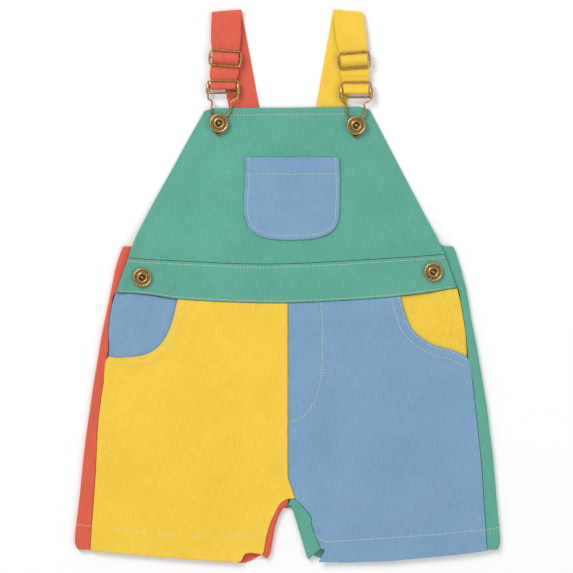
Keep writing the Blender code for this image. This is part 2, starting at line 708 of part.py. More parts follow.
def bib():
    """The bib, from the waistband's top seam to the buttons."""
    columns = 15
    rows = 13
    top_seam = smooth_line([(s.top_x, s.top_y + GAP) for s in WAIST], columns)
    top = smooth_line(BIB_TOP, columns)
    right_side = smooth_line(BIB_RIGHT_SIDE, rows)
    left_side = smooth_line(BIB_LEFT_SIDE, rows)

    def level(x, y, u, v):
        return bib_level(x, y)

    return flat_panel("bib", coons(top_seam, top, right_side, left_side), level, CLOTH, "green")


def bib_pocket():
    """The patch pocket, laid on the bib and made from the bib's surface."""
    columns = 10
    grid = []
    for row in BIB_POCKET:
        line = []
        for step in range(columns):
            share = step / (columns - 1)
            x, y = mix((row.right_x, row.right_y), (row.left_x, row.left_y), share)
            line.append((x, y - row.middle_drop * math.sin(math.pi * share)))
        grid.append(line)

    def level(x, y, u, v):
        return bib_level(x, y) + CLOTH + GAP + POCKET_CLEARANCE

    return flat_panel("bib_pocket", grid, level, CLOTH, "blue")


# The straps

BackStation = namedtuple("BackStation", "y height")
STRAP_BACK = [BackStation(23.0, 2.2), BackStation(34.5, 2.2), BackStation(39.0, 1.4),
              BackStation(43.0, 0.65), BackStation(62.0, 0.65), BackStation(90.0, 0.65),
              BackStation(120.0, 0.65), BackStation(150.0, 0.65), BackStation(175.0, 0.65),
              BackStation(200.0, 0.65), BackStation(211.0, 0.65)]
FrontStation = namedtuple("FrontStation", "from_slide height width tilt_share")
STRAP_FRONT = [
    FrontStation(28.0, 3.95, 24.0, 0.0),
    FrontStation(18.0, 4.3, 24.0, 0.3),
    FrontStation(11.0, 4.15, 23.2, 0.8),
    FrontStation(8.0, 3.97, 22.2, 1.0),
    FrontStation(6.0, 3.95, 21.4, 1.0),
    FrontStation(4.4, 4.8, 21.2, 1.0),
    FrontStation(2.6, 6.5, 21.2, 1.0),
    FrontStation(1.2, 7.3, 21.2, 1.0),
    FrontStation(0.0, 7.45, 21.2, 1.0),
    FrontStation(-1.2, 7.3, 21.2, 1.0),
    FrontStation(-2.6, 6.5, 21.2, 1.0),
    FrontStation(-4.4, 4.8, 21.2, 1.0),
    FrontStation(-6.0, 3.95, 21.4, 1.0),
    FrontStation(-8.0, 4.0, 22.4, 0.9),
    FrontStation(-11.5, 4.9, 23.0, 0.4),
]
BuckleStation = namedtuple("BuckleStation", "share_to_top_bar height width")
STRAP_AT_BUCKLE = [
    BuckleStation(1.6, 4.3, 22.4),
    BuckleStation(1.25, 3.98, 20.8),
    BuckleStation(1.0, 3.95, 20.2),
    BuckleStation(0.68, 4.6, 20.2),
    BuckleStation(0.33, 5.55, 20.2),
]
BUCKLE_WIDTH = 20.2
STRAP_TURN_FROM = 195.0
STRAP_TURN_RUN = 32.0
STRAP_FOLD_BACK = 0.9
STRAP_BAR_LEVEL = 4.0
BAR_WRAP_RADIUS = BAR_RADIUS + GAP + STRAP_CLOTH / 2
ReturnStation = namedtuple("ReturnStation", "from_slide height width tilt_share")
STRAP_RETURN = [
    ReturnStation(-14.0, 2.25, 21.0, 0.0),
    ReturnStation(-8.0, 2.25, 21.0, 0.5),
    ReturnStation(-4.4, 2.35, 21.0, 1.0),
    ReturnStation(-2.4, 3.1, 21.0, 1.0),
    ReturnStation(-0.6, 3.93, 21.0, 1.0),
    ReturnStation(0.8, 3.97, 21.0, 1.0),
]


def strap(name, facts, buckle, colour):
    """One strap: the back part, the shoulder fold, the weave through the slide and the buckle's loop."""
    fold_tilt = math.radians(facts.fold_deg)
    half = STRAP_CLOTH / 2
    turn_radius = STRAP_FOLD_RADIUS - half
    shoulder = facts.shoulder
    stations = []

    def front_x(y):
        line = [(facts.buckle[1], facts.buckle[0]), (facts.slide[1], facts.slide[0]),
                (shoulder[1], shoulder[0])]
        return height_on(line, y)

    back_way = unit(facts.back_end[0] - shoulder[0], facts.back_end[1] - shoulder[1])
    back_tilt = math.atan2(-back_way[0], -back_way[1])
    for station in STRAP_BACK:
        share = (station.y - facts.back_end[1]) / (shoulder[1] - facts.back_end[1])
        x = facts.back_end[0] + (shoulder[0] - facts.back_end[0]) * share
        tilt = -back_tilt
        if station.y > STRAP_TURN_FROM:
            tilt += (fold_tilt + back_tilt) * (station.y - STRAP_TURN_FROM) / STRAP_TURN_RUN
        stations.append((x, station.y, station.height, STRAP_WIDTH, tilt))
    arc_steps = 6
    for step in range(arc_steps + 1):
        turn = math.pi * step / arc_steps
        stations.append((shoulder[0], shoulder[1] + turn_radius * math.sin(turn) - STRAP_FOLD_BACK,
                         STRAP_FOLD_RADIUS - turn_radius * math.cos(turn), STRAP_WIDTH, fold_tilt))
    slide_tilt = math.radians(facts.slide_deg)
    slide_y = facts.slide[1]
    for station in STRAP_FRONT:
        y = slide_y + station.from_slide
        stations.append((front_x(y), y, station.height, station.width, slide_tilt * station.tilt_share))
    bar_y = buckle.strap_bar
    for station in STRAP_AT_BUCKLE:
        y = bar_y + station.share_to_top_bar * (buckle.top_bar - bar_y)
        stations.append((front_x(y), y, station.height, station.width, 0.0))
    for step in range(arc_steps + 1):
        turn = math.pi * step / arc_steps
        stations.append((front_x(bar_y), bar_y - BAR_WRAP_RADIUS * math.sin(turn),
                         STRAP_BAR_LEVEL + BAR_WRAP_RADIUS * math.cos(turn), BUCKLE_WIDTH, 0.0))
    for station in STRAP_RETURN:
        y = slide_y + station.from_slide
        stations.append((front_x(y), y, station.height, station.width, slide_tilt * station.tilt_share))

    columns = 3
    under = []
    over = []
    for index, (x, y, z, width, tilt) in enumerate(stations):
        ahead = stations[min(index + 1, len(stations) - 1)]
        behind = stations[max(index - 1, 0)]
        step_y = ahead[1] - behind[1]
        step_z = ahead[2] - behind[2]
        length = math.hypot(step_y, step_z)
        normal = (0.0, -step_z / length, step_y / length)
        across = (math.cos(tilt), math.sin(tilt))
        row_under = []
        row_over = []
        for column in range(columns + 1):
            reach = width * (column / columns - 0.5)
            px = x + across[0] * reach
            py = y + across[1] * reach
            row_under.append((px, py - normal[1] * half, z - normal[2] * half))
            row_over.append((px, py + normal[1] * half, z + normal[2] * half))
        under.append(row_under)
        over.append(row_over)
    return cloth_wall(name, under, over, colour)


# The hardware

def slide(name, facts):
    """A wire slide: a frame with bowed rails and a centre bar whose ends stand out as nubs."""
    middle_x, middle_y = facts.slide
    turn = math.radians(facts.slide_deg)
    half_length = 12.1
    half_height = 6.0
    bow = 0.7
    corner = 1.6
    outline = []
    for start_deg, centre_x, centre_y in ((0, 1, 1), (90, -1, 1), (180, -1, -1), (270, 1, -1)):
        if start_deg in (0, 180):
            outline.append((centre_x * (half_length + bow), 0.0))
        for step in range(4):
            angle = math.radians(start_deg + 30 * step)
            outline.append((centre_x * (half_length - corner) + corner * math.cos(angle),
                            centre_y * (half_height - corner) + corner * math.sin(angle)))

    def placed(x, y):
        return (middle_x + x * math.cos(turn) - y * math.sin(turn),
                middle_y + x * math.sin(turn) + y * math.cos(turn), HARDWARE_LEVEL)

    frame = rod(name, [placed(x, y) for x, y in outline], BAR_RADIUS, "brass", closed=True)
    nub = facts.slide_nub + 0.7
    bar = rod(name + "_bar", [placed(-nub, 0.0), placed(nub, 0.0)], BAR_RADIUS * 0.93, "brass")
    return unite(frame, [bar])


EAR_RADIUS = 1.6
EAR_BORE = 1.05
BAR_INSET = 1.25
WIRE_BELOW_EAR = 0.8
WIRE_CORNER = 2.0


def buckle_plate(name, facts):
    """The buckle's plate: two rolled ears, the bar inside the strap's loop and the lower bar."""
    ears = []
    segments = 12
    for x in (facts.ear_right, facts.ear_left):
        points = []
        faces = []
        for y, radius in ((facts.ear_top, EAR_RADIUS), (facts.ear_bottom, EAR_RADIUS),
                          (facts.ear_bottom, EAR_BORE), (facts.ear_top, EAR_BORE)):
            for segment in range(segments):
                angle = 2 * math.pi * segment / segments
                points.append((x + radius * math.cos(angle), y, EAR_LEVEL + radius * math.sin(angle)))
        for ring in range(4):
            for segment in range(segments):
                beside = (segment + 1) % segments
                faces.append((ring * segments + segment, ring * segments + beside,
                              (ring + 1) % 4 * segments + beside, (ring + 1) % 4 * segments + segment))
        ears.append(add_object(name if x == facts.ear_right else name + "_ear", points, faces, "brass"))
    bars = []
    for tag, y, level in (("strap_bar", facts.strap_bar, STRAP_BAR_LEVEL),
                          ("lower_bar", facts.lower_bar, EAR_LEVEL)):
        ends = [(facts.ear_right + BAR_INSET, y, level), (facts.ear_left - BAR_INSET, y, level)]
        bars.append(rod(name + "_" + tag, ends, BAR_RADIUS, "brass", sides=8))
    return unite(ears[0], [bars[0], bars[1], ears[1]])


def buckle_wire(name, facts, keyhole):
    """The closed wire: up through the ears to the top bar, down to the keyhole round the button."""
    top = facts.top_bar
    path = []
    lowest = min(y for _, y in keyhole)
    shoulder = keyhole[0][1]
    for x, y in smooth_line(keyhole, 30):
        share = smoothstep((shoulder - y) / (0.5 * (shoulder - lowest)))
        path.append((x, y, EAR_LEVEL + (LOOP_LEVEL - EAR_LEVEL) * share))
    below = facts.ear_bottom - WIRE_BELOW_EAR
    left_ear = [(facts.ear_left, below, EAR_LEVEL), (facts.ear_left, facts.ear_top, EAR_LEVEL)]
    right_ear = [(facts.ear_right, facts.ear_top, EAR_LEVEL), (facts.ear_right, below, EAR_LEVEL)]
    path += left_ear
    rise = HARDWARE_LEVEL - EAR_LEVEL
    for step in range(4):
        angle = math.radians(30 * step)
        path.append((facts.ear_left - WIRE_CORNER + WIRE_CORNER * math.cos(angle),
                     top - WIRE_CORNER + WIRE_CORNER * math.sin(angle),
                     EAR_LEVEL + rise * smoothstep(step / 3)))
    for step in range(4):
        angle = math.radians(90 + 30 * step)
        path.append((facts.ear_right + WIRE_CORNER + WIRE_CORNER * math.cos(angle),
                     top - WIRE_CORNER + WIRE_CORNER * math.sin(angle),
                     HARDWARE_LEVEL - rise * smoothstep(step / 3)))
    path += right_ear
    return rod(name, path, WIRE_RADIUS, "brass", closed=True)


SHANK_RADIUS = 2.2
ProfileRow = namedtuple("ProfileRow", "radius height")
CAP = [ProfileRow(0.0, 1.25), ProfileRow(0.9, 1.05), ProfileRow(1.3, 0.6), ProfileRow(2.5, 0.6),
       ProfileRow(2.9, 1.7), ProfileRow(3.7, 1.8), ProfileRow(4.2, 1.4), ProfileRow(6.1, 1.3),
       ProfileRow(6.6, 1.8), ProfileRow(7.2, 1.7), ProfileRow(7.6, 1.1), ProfileRow(7.4, 0.3),
       ProfileRow(6.8, 0.0)]


def button(name, centre, cap_base, cloth_top):
    """A tack button: a turned cap with a rim, a ring and a recess, on a short shank over the cloth."""
    shank = cloth_top + GAP - cap_base
    profile = CAP + [ProfileRow(SHANK_RADIUS, 0.0), ProfileRow(SHANK_RADIUS, shank), ProfileRow(0.0, shank)]
    return turned(name, centre, cap_base, profile, "brass")


def build():
    for old in list(bpy.data.objects):
        bpy.data.objects.remove(old)
    back_leg("back_leg_right", -1, "red")
    back_leg("back_leg_left", 1, "green")
    pocket_facing("pocket_facing_right", -1, "blue")
    pocket_facing("pocket_facing_left", 1, "yellow")
    front_leg("front_leg_right", -1, "yellow")
    front_leg("front_leg_left", 1, "blue")
    waistband()
    bib()
    bib_pocket()
    for side, facts, buckle, keyhole, colour in (
            ("right", STRAP_RIGHT, BUCKLE_RIGHT, KEYHOLE_RIGHT, "red"),
            ("left", STRAP_LEFT, BUCKLE_LEFT, KEYHOLE_LEFT, "yellow")):
        strap("strap_" + side, facts, buckle, colour)
        slide("slide_" + side, facts)
        buckle_plate("buckle_plate_" + side, buckle)
        buckle_wire("buckle_wire_" + side, buckle, keyhole)
        x, y = BIB_BUTTONS[side]
        bib_top = bib_level(x, y) + CLOTH
        button("button_bib_" + side, (x, y), LOOP_LEVEL + WIRE_RADIUS + GAP, bib_top)
        x, y = SIDE_BUTTONS[side]
        band_top = WAISTBAND_LEVEL + lift_over_fold(x, y) + DOUBLE_CLOTH
        button("button_side_" + side, (x, y), band_top + 0.7, band_top)


build()
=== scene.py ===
"""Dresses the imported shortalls: thin twill shells with seams, hems, creases and stitches, and brass.

Sides are the wearer's: right is -X, left is +X. +Y runs from the leg hems to the shoulders and +Z is up from
the table. Sizes are in millimetres until a mesh is made, and the frame's own Y is CENTRE_Y lower.
"""
import math
from collections import namedtuple

import bpy
import numpy as np
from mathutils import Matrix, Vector
from mathutils.bvhtree import BVHTree


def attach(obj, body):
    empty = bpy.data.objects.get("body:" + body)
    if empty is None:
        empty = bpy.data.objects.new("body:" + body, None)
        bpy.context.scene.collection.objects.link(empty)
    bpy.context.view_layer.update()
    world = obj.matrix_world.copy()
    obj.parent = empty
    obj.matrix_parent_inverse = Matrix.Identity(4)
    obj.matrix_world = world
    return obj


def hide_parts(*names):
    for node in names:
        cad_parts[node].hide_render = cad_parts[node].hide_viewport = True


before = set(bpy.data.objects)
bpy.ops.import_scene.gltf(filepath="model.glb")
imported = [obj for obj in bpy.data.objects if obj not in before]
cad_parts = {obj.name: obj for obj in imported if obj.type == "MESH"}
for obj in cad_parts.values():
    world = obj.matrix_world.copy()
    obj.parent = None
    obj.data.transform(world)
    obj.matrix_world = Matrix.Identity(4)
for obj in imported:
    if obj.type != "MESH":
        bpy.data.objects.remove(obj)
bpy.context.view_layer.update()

MM = 0.001

# Driving dimensions, as in the part
PANEL = 1.0
WALL = 1.2
BAND = 1.5
STRAP_CLOTH = 1.2
GAP = 0.3
FOLD_RADIUS = 2.2
FRONT_TOP = 2.0 * FOLD_RADIUS
WAISTBAND_TOP = 5.0
BIB_LOW_TOP = 2.9
BIB_EDGE_TOP = 1.6
FACING_LOW_TOP = 2.8
STRAP_WIDTH = 24.0
STRAP_FOLD_RADIUS = 2.2
WIRE_RADIUS = 0.75
BAR_RADIUS = 0.8
HARDWARE_LEVEL = 5.7
EAR_LEVEL = 5.0
LOOP_LEVEL = 4.25
CENTRE_SEAM_X = 0.4
CENTRE_Y = 0.25

# The outer sides, one row for each height: the fold of the back leg, and the edge of what lies in front of
# it (the placket's end, then the pocket facing down to y = -57, then the front leg's side seam). left_rise
# lifts a row on the left side, where the waist seam runs higher.
SideSection = namedtuple("SideSection", "y left_rise right_fold right_seam left_fold left_seam")
SIDES = [
    SideSection(32.0, 0.0, -131.4, -106.0, 132.6, 106.0),
    SideSection(24.0, 0.0, -134.6, -106.0, 135.4, 106.0),
    SideSection(12.0, 1.0, -138.1, -106.0, 138.8, 106.0),
    SideSection(0.2, 3.0, -140.4, -106.0, 141.4, 106.0),
    SideSection(-3.0, 4.3, -141.1, -129.0, 142.1, 129.0),
    SideSection(-5.2, 4.3, -141.5, -137.6, 142.6, 135.8),
    SideSection(-15.4, 2.0, -143.6, -140.6, 144.8, 138.6),
    SideSection(-26.0, 0.0, -145.9, -142.4, 146.8, 140.8),
    SideSection(-38.2, 0.0, -148.4, -143.4, 149.2, 142.6),
    SideSection(-48.0, 0.0, -150.1, -143.2, 151.1, 143.6),
    SideSection(-57.4, 0.0, -151.6, -144.4, 152.8, 144.4),
    SideSection(-76.6, 0.0, -154.8, -147.2, 156.0, 148.0),
    SideSection(-95.8, 0.0, -157.6, -150.0, 159.2, 150.4),
    SideSection(-115.0, 0.0, -160.4, -152.0, 161.6, 152.4),
    SideSection(-134.2, 0.0, -162.8, -152.8, 164.0, 154.4),
    SideSection(-153.4, 0.0, -164.8, -153.8, 165.8, 156.0),
    SideSection(-172.6, 0.0, -166.8, -155.2, 167.4, 157.2),
    SideSection(-191.8, 0.0, -169.2, -156.6, 169.2, 158.6),
    SideSection(-201.4, 0.0, -170.0, -157.2, 170.0, 159.2),
    SideSection(-206.4, 0.0, -169.6, -157.5, 169.7, 159.5),
    SideSection(-210.4, 0.0, -167.4, -157.8, 168.4, 159.8),
]
PLACKET_ROWS = 5
SIDE_SEAM_ROWS = 11

# The inner legs, one row for each place along the crotch arch: the fold, and the front leg's seam
InnerSection = namedtuple("InnerSection", "fold_x fold_y seam_x seam_y")
INNER_RIGHT = [
    InnerSection(-0.9, -175.9, 0.8, -170.0),
    InnerSection(-1.9, -176.5, -2.3, -171.3),
    InnerSection(-3.9, -178.1, -6.3, -174.8),
    InnerSection(-6.2, -182.4, -9.6, -181.2),
    InnerSection(-9.0, -189.6, -13.0, -188.4),
    InnerSection(-11.0, -198.6, -16.0, -197.8),
    InnerSection(-12.4, -206.3, -17.4, -205.1),
    InnerSection(-13.9, -213.9, -18.8, -212.4),
    InnerSection(-16.6, -218.0, -19.2, -215.2),
]
INNER_LEFT = [
    InnerSection(0.9, -175.6, 2.2, -170.0),
    InnerSection(2.4, -175.8, 6.1, -170.2),
    InnerSection(3.6, -177.6, 9.8, -173.6),
    InnerSection(5.3, -182.2, 14.8, -179.1),
    InnerSection(6.8, -187.0, 18.4, -184.0),
    InnerSection(8.1, -191.6, 19.0, -189.6),
    InnerSection(10.7, -200.3, 21.3, -197.3),
    InnerSection(13.6, -210.2, 25.2, -206.6),
    InnerSection(16.2, -218.6, 26.4, -209.6),
]

# The waistband's seams from side to side
WaistStation = namedtuple("WaistStation", "top_x top_y bottom_x bottom_y")
WAIST = [
    WaistStation(-127.2, 22.6, -136.8, -5.0),
    WaistStation(-112.0, 21.3, -112.4, -6.4),
    WaistStation(-88.0, 20.1, -87.6, -10.1),
    WaistStation(-38.0, 17.8, -38.0, -12.8),
    WaistStation(0.4, 17.8, 0.4, -13.2),
    WaistStation(42.0, 19.8, 42.0, -11.4),
    WaistStation(78.8, 22.1, 76.0, -9.1),
    WaistStation(108.0, 24.0, 112.0, -5.0),
    WaistStation(125.6, 25.4, 135.0, -1.0),
]

# The pocket scoops, from the waist seam to the side seam
SCOOP_RIGHT = [(-87.8, -10.4), (-90.2, -21.1), (-93.8, -33.0), (-100.2, -45.0), (-108.6, -52.3),
               (-117.7, -55.5), (-130.6, -56.9), (-144.1, -57.4)]
SCOOP_LEFT = [(90.2, -7.9), (93.4, -19.3), (98.0, -31.2), (106.3, -40.4), (118.2, -47.3), (133.8, -51.4),
              (144.1, -57.4)]
SCOOP_STITCH_INSETS = (1.6, 7.6)
FACING_LAP = 8.0
FACING_CORNER_RIGHT = (-121.0, -65.0)
FACING_CORNER_LEFT = (121.0, -61.0)
FACING_SEAM_END_Y = -57.4
FACING_END_Y = -66.0

# The hems of the front legs, from the inner leg to the side seam
HEM_RIGHT = [(-19.8, -214.2), (-33.0, -213.4), (-38.5, -220.3), (-76.4, -218.3), (-108.6, -215.6),
             (-157.4, -211.0)]
HEM_LEFT = [(24.8, -220.4), (77.2, -219.8), (134.5, -214.6), (159.6, -211.2)]
HEM_NOTCH_LEFT = [(29.6, -210.6), (27.6, -215.4)]

# The back's top edge between its sides, and the back legs' hems from the outer to the inner leg
BACK_TOP_Y = 32.0
BACK_WAIST_RIGHT = [(-110.0, 34.4), (-60.0, 33.0)]
BACK_WAIST_LEFT = [(110.0, 34.4), (60.0, 33.0)]
BACK_HEM_RIGHT = [(-108.6, -215.2), (-76.4, -217.9), (-38.0, -220.8), (-24.0, -220.6)]
BACK_HEM_LEFT = [(134.5, -214.1), (77.2, -219.3), (38.0, -220.4)]

# The front's centre seam where it turns into the crotch: how far from the seam's line, and how high
SeamBend = namedtuple("SeamBend", "aside y")
CENTRE_SEAM_END_Y = -146.0
CROTCH_BEND = [SeamBend(0.3, -153.0), SeamBend(2.2, -159.0), SeamBend(4.8, -166.8), SeamBend(5.3, -169.3)]

# How far the front legs sink between their seams, and their two soft swells
PANEL_SINK = 0.7
SINK_RUNS = 8
Swell = namedtuple("Swell", "height x_run y_run")
SWELL_ACROSS = Swell(0.35, 23.0, 61.0)
SWELL_DOWN = Swell(0.25, 47.0, 31.0)

# The waistband and the bib rise over the back's outer folds, and the rise fades out above FOLD_LIFT_END
FOLD_LIFT = 1.6
FOLD_LIFT_FROM = 6.0
FOLD_LIFT_RUN = 9.0
FOLD_LIFT_END = 35.0
FOLD_LIFT_END_RUN = 14.0

# How the bib falls onto the straps, droops at its sides and ripples
BIB_STEP = 0.1
BIB_FALL_FROM = 31.0
BIB_FALL_RUN = 36.0
BIB_DROOP_WIDTH = 16.0
BIB_DROOP_FROM_Y = 62.0
BIB_DROOP_RUN = 30.0
BIB_DROOP_FROM_X = 50.0
BIB_DROOP_X_RUN = 14.0
BIB_RIPPLE = Swell(0.28, 17.0, 29.0)
BIB_RIPPLE_INSET = 25.0
BIB_RIPPLE_LOW = 60.0
BIB_RIPPLE_LOW_RUN = 20.0
BIB_RIPPLE_HIGH = 135.0
BIB_RIPPLE_HIGH_RUN = 15.0

# The bib's sides and top, and the bib pocket's sides
BIB_RIGHT_SIDE = [(-127.2, 22.9), (-121.6, 38.6), (-112.0, 57.8), (-101.6, 77.0), (-90.8, 96.2),
                  (-80.4, 115.4), (-70.4, 133.0), (-66.4, 140.2)]
BIB_LEFT_SIDE = [(125.6, 25.7), (119.6, 38.6), (109.2, 57.8), (99.2, 77.0), (89.2, 96.2), (79.2, 115.4),
                 (70.0, 133.0), (65.8, 141.0)]
BIB_TOP = [(-66.4, 140.2), (-63.0, 142.2), (0.0, 142.8), (61.0, 143.4), (65.8, 141.0)]
PocketRow = namedtuple("PocketRow", "right_x right_y left_x left_y middle_drop")
BIB_POCKET = [
    PocketRow(-33.6, 103.0, 41.2, 103.2, 0.0),
    PocketRow(-33.8, 85.0, 42.0, 85.0, 0.0),
    PocketRow(-35.0, 62.0, 41.6, 62.0, 0.0),
    PocketRow(-33.6, 52.6, 40.6, 52.6, 0.0),
    PocketRow(-29.6, 45.6, 37.6, 46.2, 0.6),
    PocketRow(-23.0, 40.4, 31.4, 41.4, 1.6),
    PocketRow(-14.0, 38.0, 22.0, 38.4, 1.2),
]

# The straps: the edge-to-edge middle at the shoulder fold, at the slide and at the buckle's bar
Strap = namedtuple("Strap", "shoulder slide buckle back_end fold_deg slide_deg slide_nub")
STRAP_RIGHT = Strap((-48.7, 219.2), (-49.7, 182.1), (-51.45, 159.3), (-12.7, 23.0), 5.2, -4.6, 12.9)
STRAP_LEFT = Strap((48.4, 219.2), (53.2, 180.5), (54.8, 155.7), (13.3, 23.0), -5.2, 4.4, 12.6)

# The buckles: ears, lower bar and the keyhole wire's way down to the button
Buckle = namedtuple("Buckle", "ear_right ear_left ear_top ear_bottom top_bar lower_bar strap_bar")
BUCKLE_RIGHT = Buckle(-63.5, -39.4, 161.8, 153.4, 164.2, 154.4, 159.3)
BUCKLE_LEFT = Buckle(43.0, 66.6, 158.2, 150.0, 163.0, 150.9, 155.7)
KEYHOLE_RIGHT = [(-63.4, 149.8), (-60.4, 147.6), (-60.7, 143.2), (-61.0, 139.6), (-59.2, 135.0),
                 (-58.9, 125.4), (-55.2, 121.1), (-51.5, 125.4), (-50.6, 133.6), (-46.2, 138.8),
                 (-45.2, 142.2), (-44.8, 147.2), (-40.3, 149.8)]
KEYHOLE_LEFT = [(43.6, 147.6), (47.0, 145.2), (47.2, 141.8), (47.6, 137.9), (49.9, 133.4), (51.2, 123.4),
                (54.9, 119.1), (58.6, 123.4), (59.6, 133.6), (61.8, 138.0), (61.9, 141.8), (61.4, 145.8),
                (65.2, 147.9)]

# The tack buttons
BIB_BUTTONS = {"right": (-54.7, 130.2), "left": (54.9, 128.4)}
SIDE_BUTTONS = {"right": (-116.0, 7.0), "left": (116.4, 11.5)}

# Soft creases, placed one by one: a trough where depth is positive, a ridge where it is negative
Crease = namedtuple("Crease", "start_x start_y end_x end_y width depth bow")
YELLOW_CREASES = [
    Crease(-6.0, -60.0, -9.0, -150.0, 15.0, 0.45, -2.0),
    Crease(-8.0, -128.0, -20.0, -196.0, 22.0, 0.75, 4.0),
    Crease(-14.0, -160.0, -52.0, -214.0, 20.0, 0.6, -4.0),
    Crease(-30.0, -176.0, -24.0, -206.0, 10.0, -0.4, 1.0),
    Crease(-60.0, -40.0, -44.0, -130.0, 26.0, -0.35, 3.0),
    Crease(-120.0, -80.0, -108.0, -196.0, 34.0, -0.3, -5.0),
    Crease(-136.0, -70.0, -141.0, -150.0, 12.0, 0.25, 2.0),
    Crease(-90.0, -56.0, -128.0, -72.0, 9.0, 0.3, 2.0),
    Crease(-84.0, -120.0, -60.0, -180.0, 24.0, 0.22, 5.0),
]
BLUE_CREASES = [
    Crease(14.0, -58.0, 26.0, -140.0, 13.0, -0.5, -4.0),
    Crease(7.0, -20.0, 7.0, -120.0, 9.0, 0.35, 1.0),
    Crease(33.0, -70.0, 40.0, -168.0, 18.0, 0.35, 4.0),
    Crease(18.0, -158.0, 44.0, -196.0, 15.0, 0.5, 3.0),
    Crease(60.0, -30.0, 70.0, -120.0, 28.0, -0.3, 4.0),
    Crease(118.0, -80.0, 110.0, -190.0, 30.0, -0.3, 4.0),
    Crease(90.0, -52.0, 140.0, -70.0, 8.0, 0.25, 2.0),
    Crease(142.0, -90.0, 148.0, -170.0, 12.0, 0.25, -2.0),
    Crease(80.0, -140.0, 62.0, -190.0, 20.0, 0.2, 3.0),
]
YELLOW_FACING_CREASES = [
    Crease(101.0, -8.0, 108.0, -34.0, 5.0, 0.7, -2.0),
    Crease(112.0, -12.0, 121.0, -42.0, 6.0, -0.6, 2.0),
    Crease(116.0, -6.0, 127.0, -34.0, 4.5, 0.6, 2.0),
    Crease(131.0, -10.0, 134.0, -46.0, 4.0, 0.55, -1.0),
    Crease(126.0, -16.0, 129.0, -44.0, 4.0, -0.45, 1.0),
]
BLUE_FACING_CREASES = [
    Crease(-137.0, -18.0, -126.0, -48.0, 6.0, 0.6, -2.0),
    Crease(-118.0, -34.0, -106.0, -12.0, 7.0, -0.5, 1.0),
    Crease(-128.0, -12.0, -121.0, -30.0, 6.0, -0.35, 1.0),
    Crease(-99.0, -14.0, -103.0, -34.0, 5.0, 0.4, 1.0),
    Crease(-134.0, -26.0, -128.0, -52.0, 4.0, -0.35, 1.0),
]
BIB_CREASES = [
    Crease(-84.0, 84.0, -70.0, 118.0, 12.0, -0.45, 2.0),
    Crease(-56.0, 116.0, -66.0, 96.0, 16.0, 0.45, 1.0),
    Crease(50.0, 116.0, 62.0, 92.0, 16.0, 0.45, -1.0),
    Crease(62.0, 104.0, 78.0, 70.0, 14.0, -0.4, -2.0),
    Crease(-106.0, 30.0, -84.0, 66.0, 18.0, 0.35, 3.0),
    Crease(104.0, 32.0, 86.0, 68.0, 18.0, 0.35, -3.0),
    Crease(-50.0, 30.0, 30.0, 27.0, 8.0, 0.2, 1.0),
    Crease(-30.0, 132.0, -36.0, 112.0, 16.0, -0.25, 1.0),
    Crease(28.0, 134.0, 40.0, 112.0, 14.0, -0.25, -1.0),
    Crease(72.0, 40.0, 60.0, 58.0, 14.0, -0.25, 0.0),
]
BAND_CREASES = [
    Crease(-100.0, 3.0, -84.0, 8.0, 6.0, 0.3, 1.0),
    Crease(102.0, 5.0, 88.0, 9.0, 6.0, 0.3, 1.0),
    Crease(-60.0, 0.0, -20.0, 3.0, 9.0, -0.18, 1.0),
    Crease(14.0, 2.0, 60.0, 5.0, 9.0, -0.22, -1.0),
    Crease(128.6, 20.0, 131.6, 6.0, 3.0, 0.35, 0.0),
]
BACK_CREASES = [
    Crease(40.0, -20.0, 52.0, -120.0, 24.0, -0.4, 6.0),
    Crease(96.0, 10.0, 88.0, -70.0, 18.0, -0.35, -5.0),
    Crease(24.0, -130.0, 58.0, -196.0, 16.0, -0.5, 4.0),
    Crease(120.0, -60.0, 130.0, -170.0, 22.0, -0.3, -4.0),
    Crease(30.0, 20.0, 30.0, -40.0, 12.0, -0.25, 2.0),
]


def smoothstep(value):
    """Ease from 0 to 1 as value goes from 0 to 1."""
    value = np.clip(value, 0.0, 1.0)
    return value * value * (3.0 - 2.0 * value)


def unit(x, y):
    length = math.hypot(x, y)
    return x / length, y / length


def spline(points, at):
    """Points on a smooth curve through the named points, at shares 0 to 1 of the way by point number."""
    points = np.asarray(points, float)
    last = len(points) - 1
    place = np.clip(np.asarray(at, float), 0.0, 1.0) * last
    index = np.minimum(place.astype(int), last - 1)
    t = (place - index)[:, None]
    before = points[np.maximum(index - 1, 0)]
    start = points[index]
    end = points[index + 1]
    after = points[np.minimum(index + 2, last)]
    run = np.linalg.norm(end - start, axis=1)[:, None]
    leave = run / np.maximum(np.linalg.norm(end - before, axis=1)[:, None], 1e-9)
    arrive = run / np.maximum(np.linalg.norm(after - start, axis=1)[:, None], 1e-9)
    h1 = 2 * t ** 3 - 3 * t ** 2 + 1
    h2 = 3 * t ** 2 - 2 * t ** 3
    h3 = t ** 3 - 2 * t ** 2 + t
    h4 = t ** 3 - t ** 2
    return h1 * start + h2 * end + h3 * leave * (end - before) + h4 * arrive * (after - start)


def even(points, count):
    """count points, evenly spaced along straight runs between the points."""
    points = np.asarray(points, float)
    runs = np.concatenate([[0.0], np.cumsum(np.linalg.norm(np.diff(points, axis=0), axis=1))])
    places = np.linspace(0.0, runs[-1], count)
    return np.stack([np.interp(places, runs, points[:, axis]) for axis in range(points.shape[1])], axis=1)


def smooth_line(points, count):
    """count points, evenly spaced on a smooth curve through the named points."""
    return even(spline(points, np.linspace(0.0, 1.0, 16 * (len(points) - 1) + 1)), count)


def height_on(points, x):
    """The y of a line of points that runs from side to side, at x."""
    points = np.asarray(points, float)
    order = np.argsort(points[:, 0])
    return np.interp(x, points[order, 0], points[order, 1])


EDGE_STEPS = (0.0, 0.07, 0.25, 0.55, 1.0)


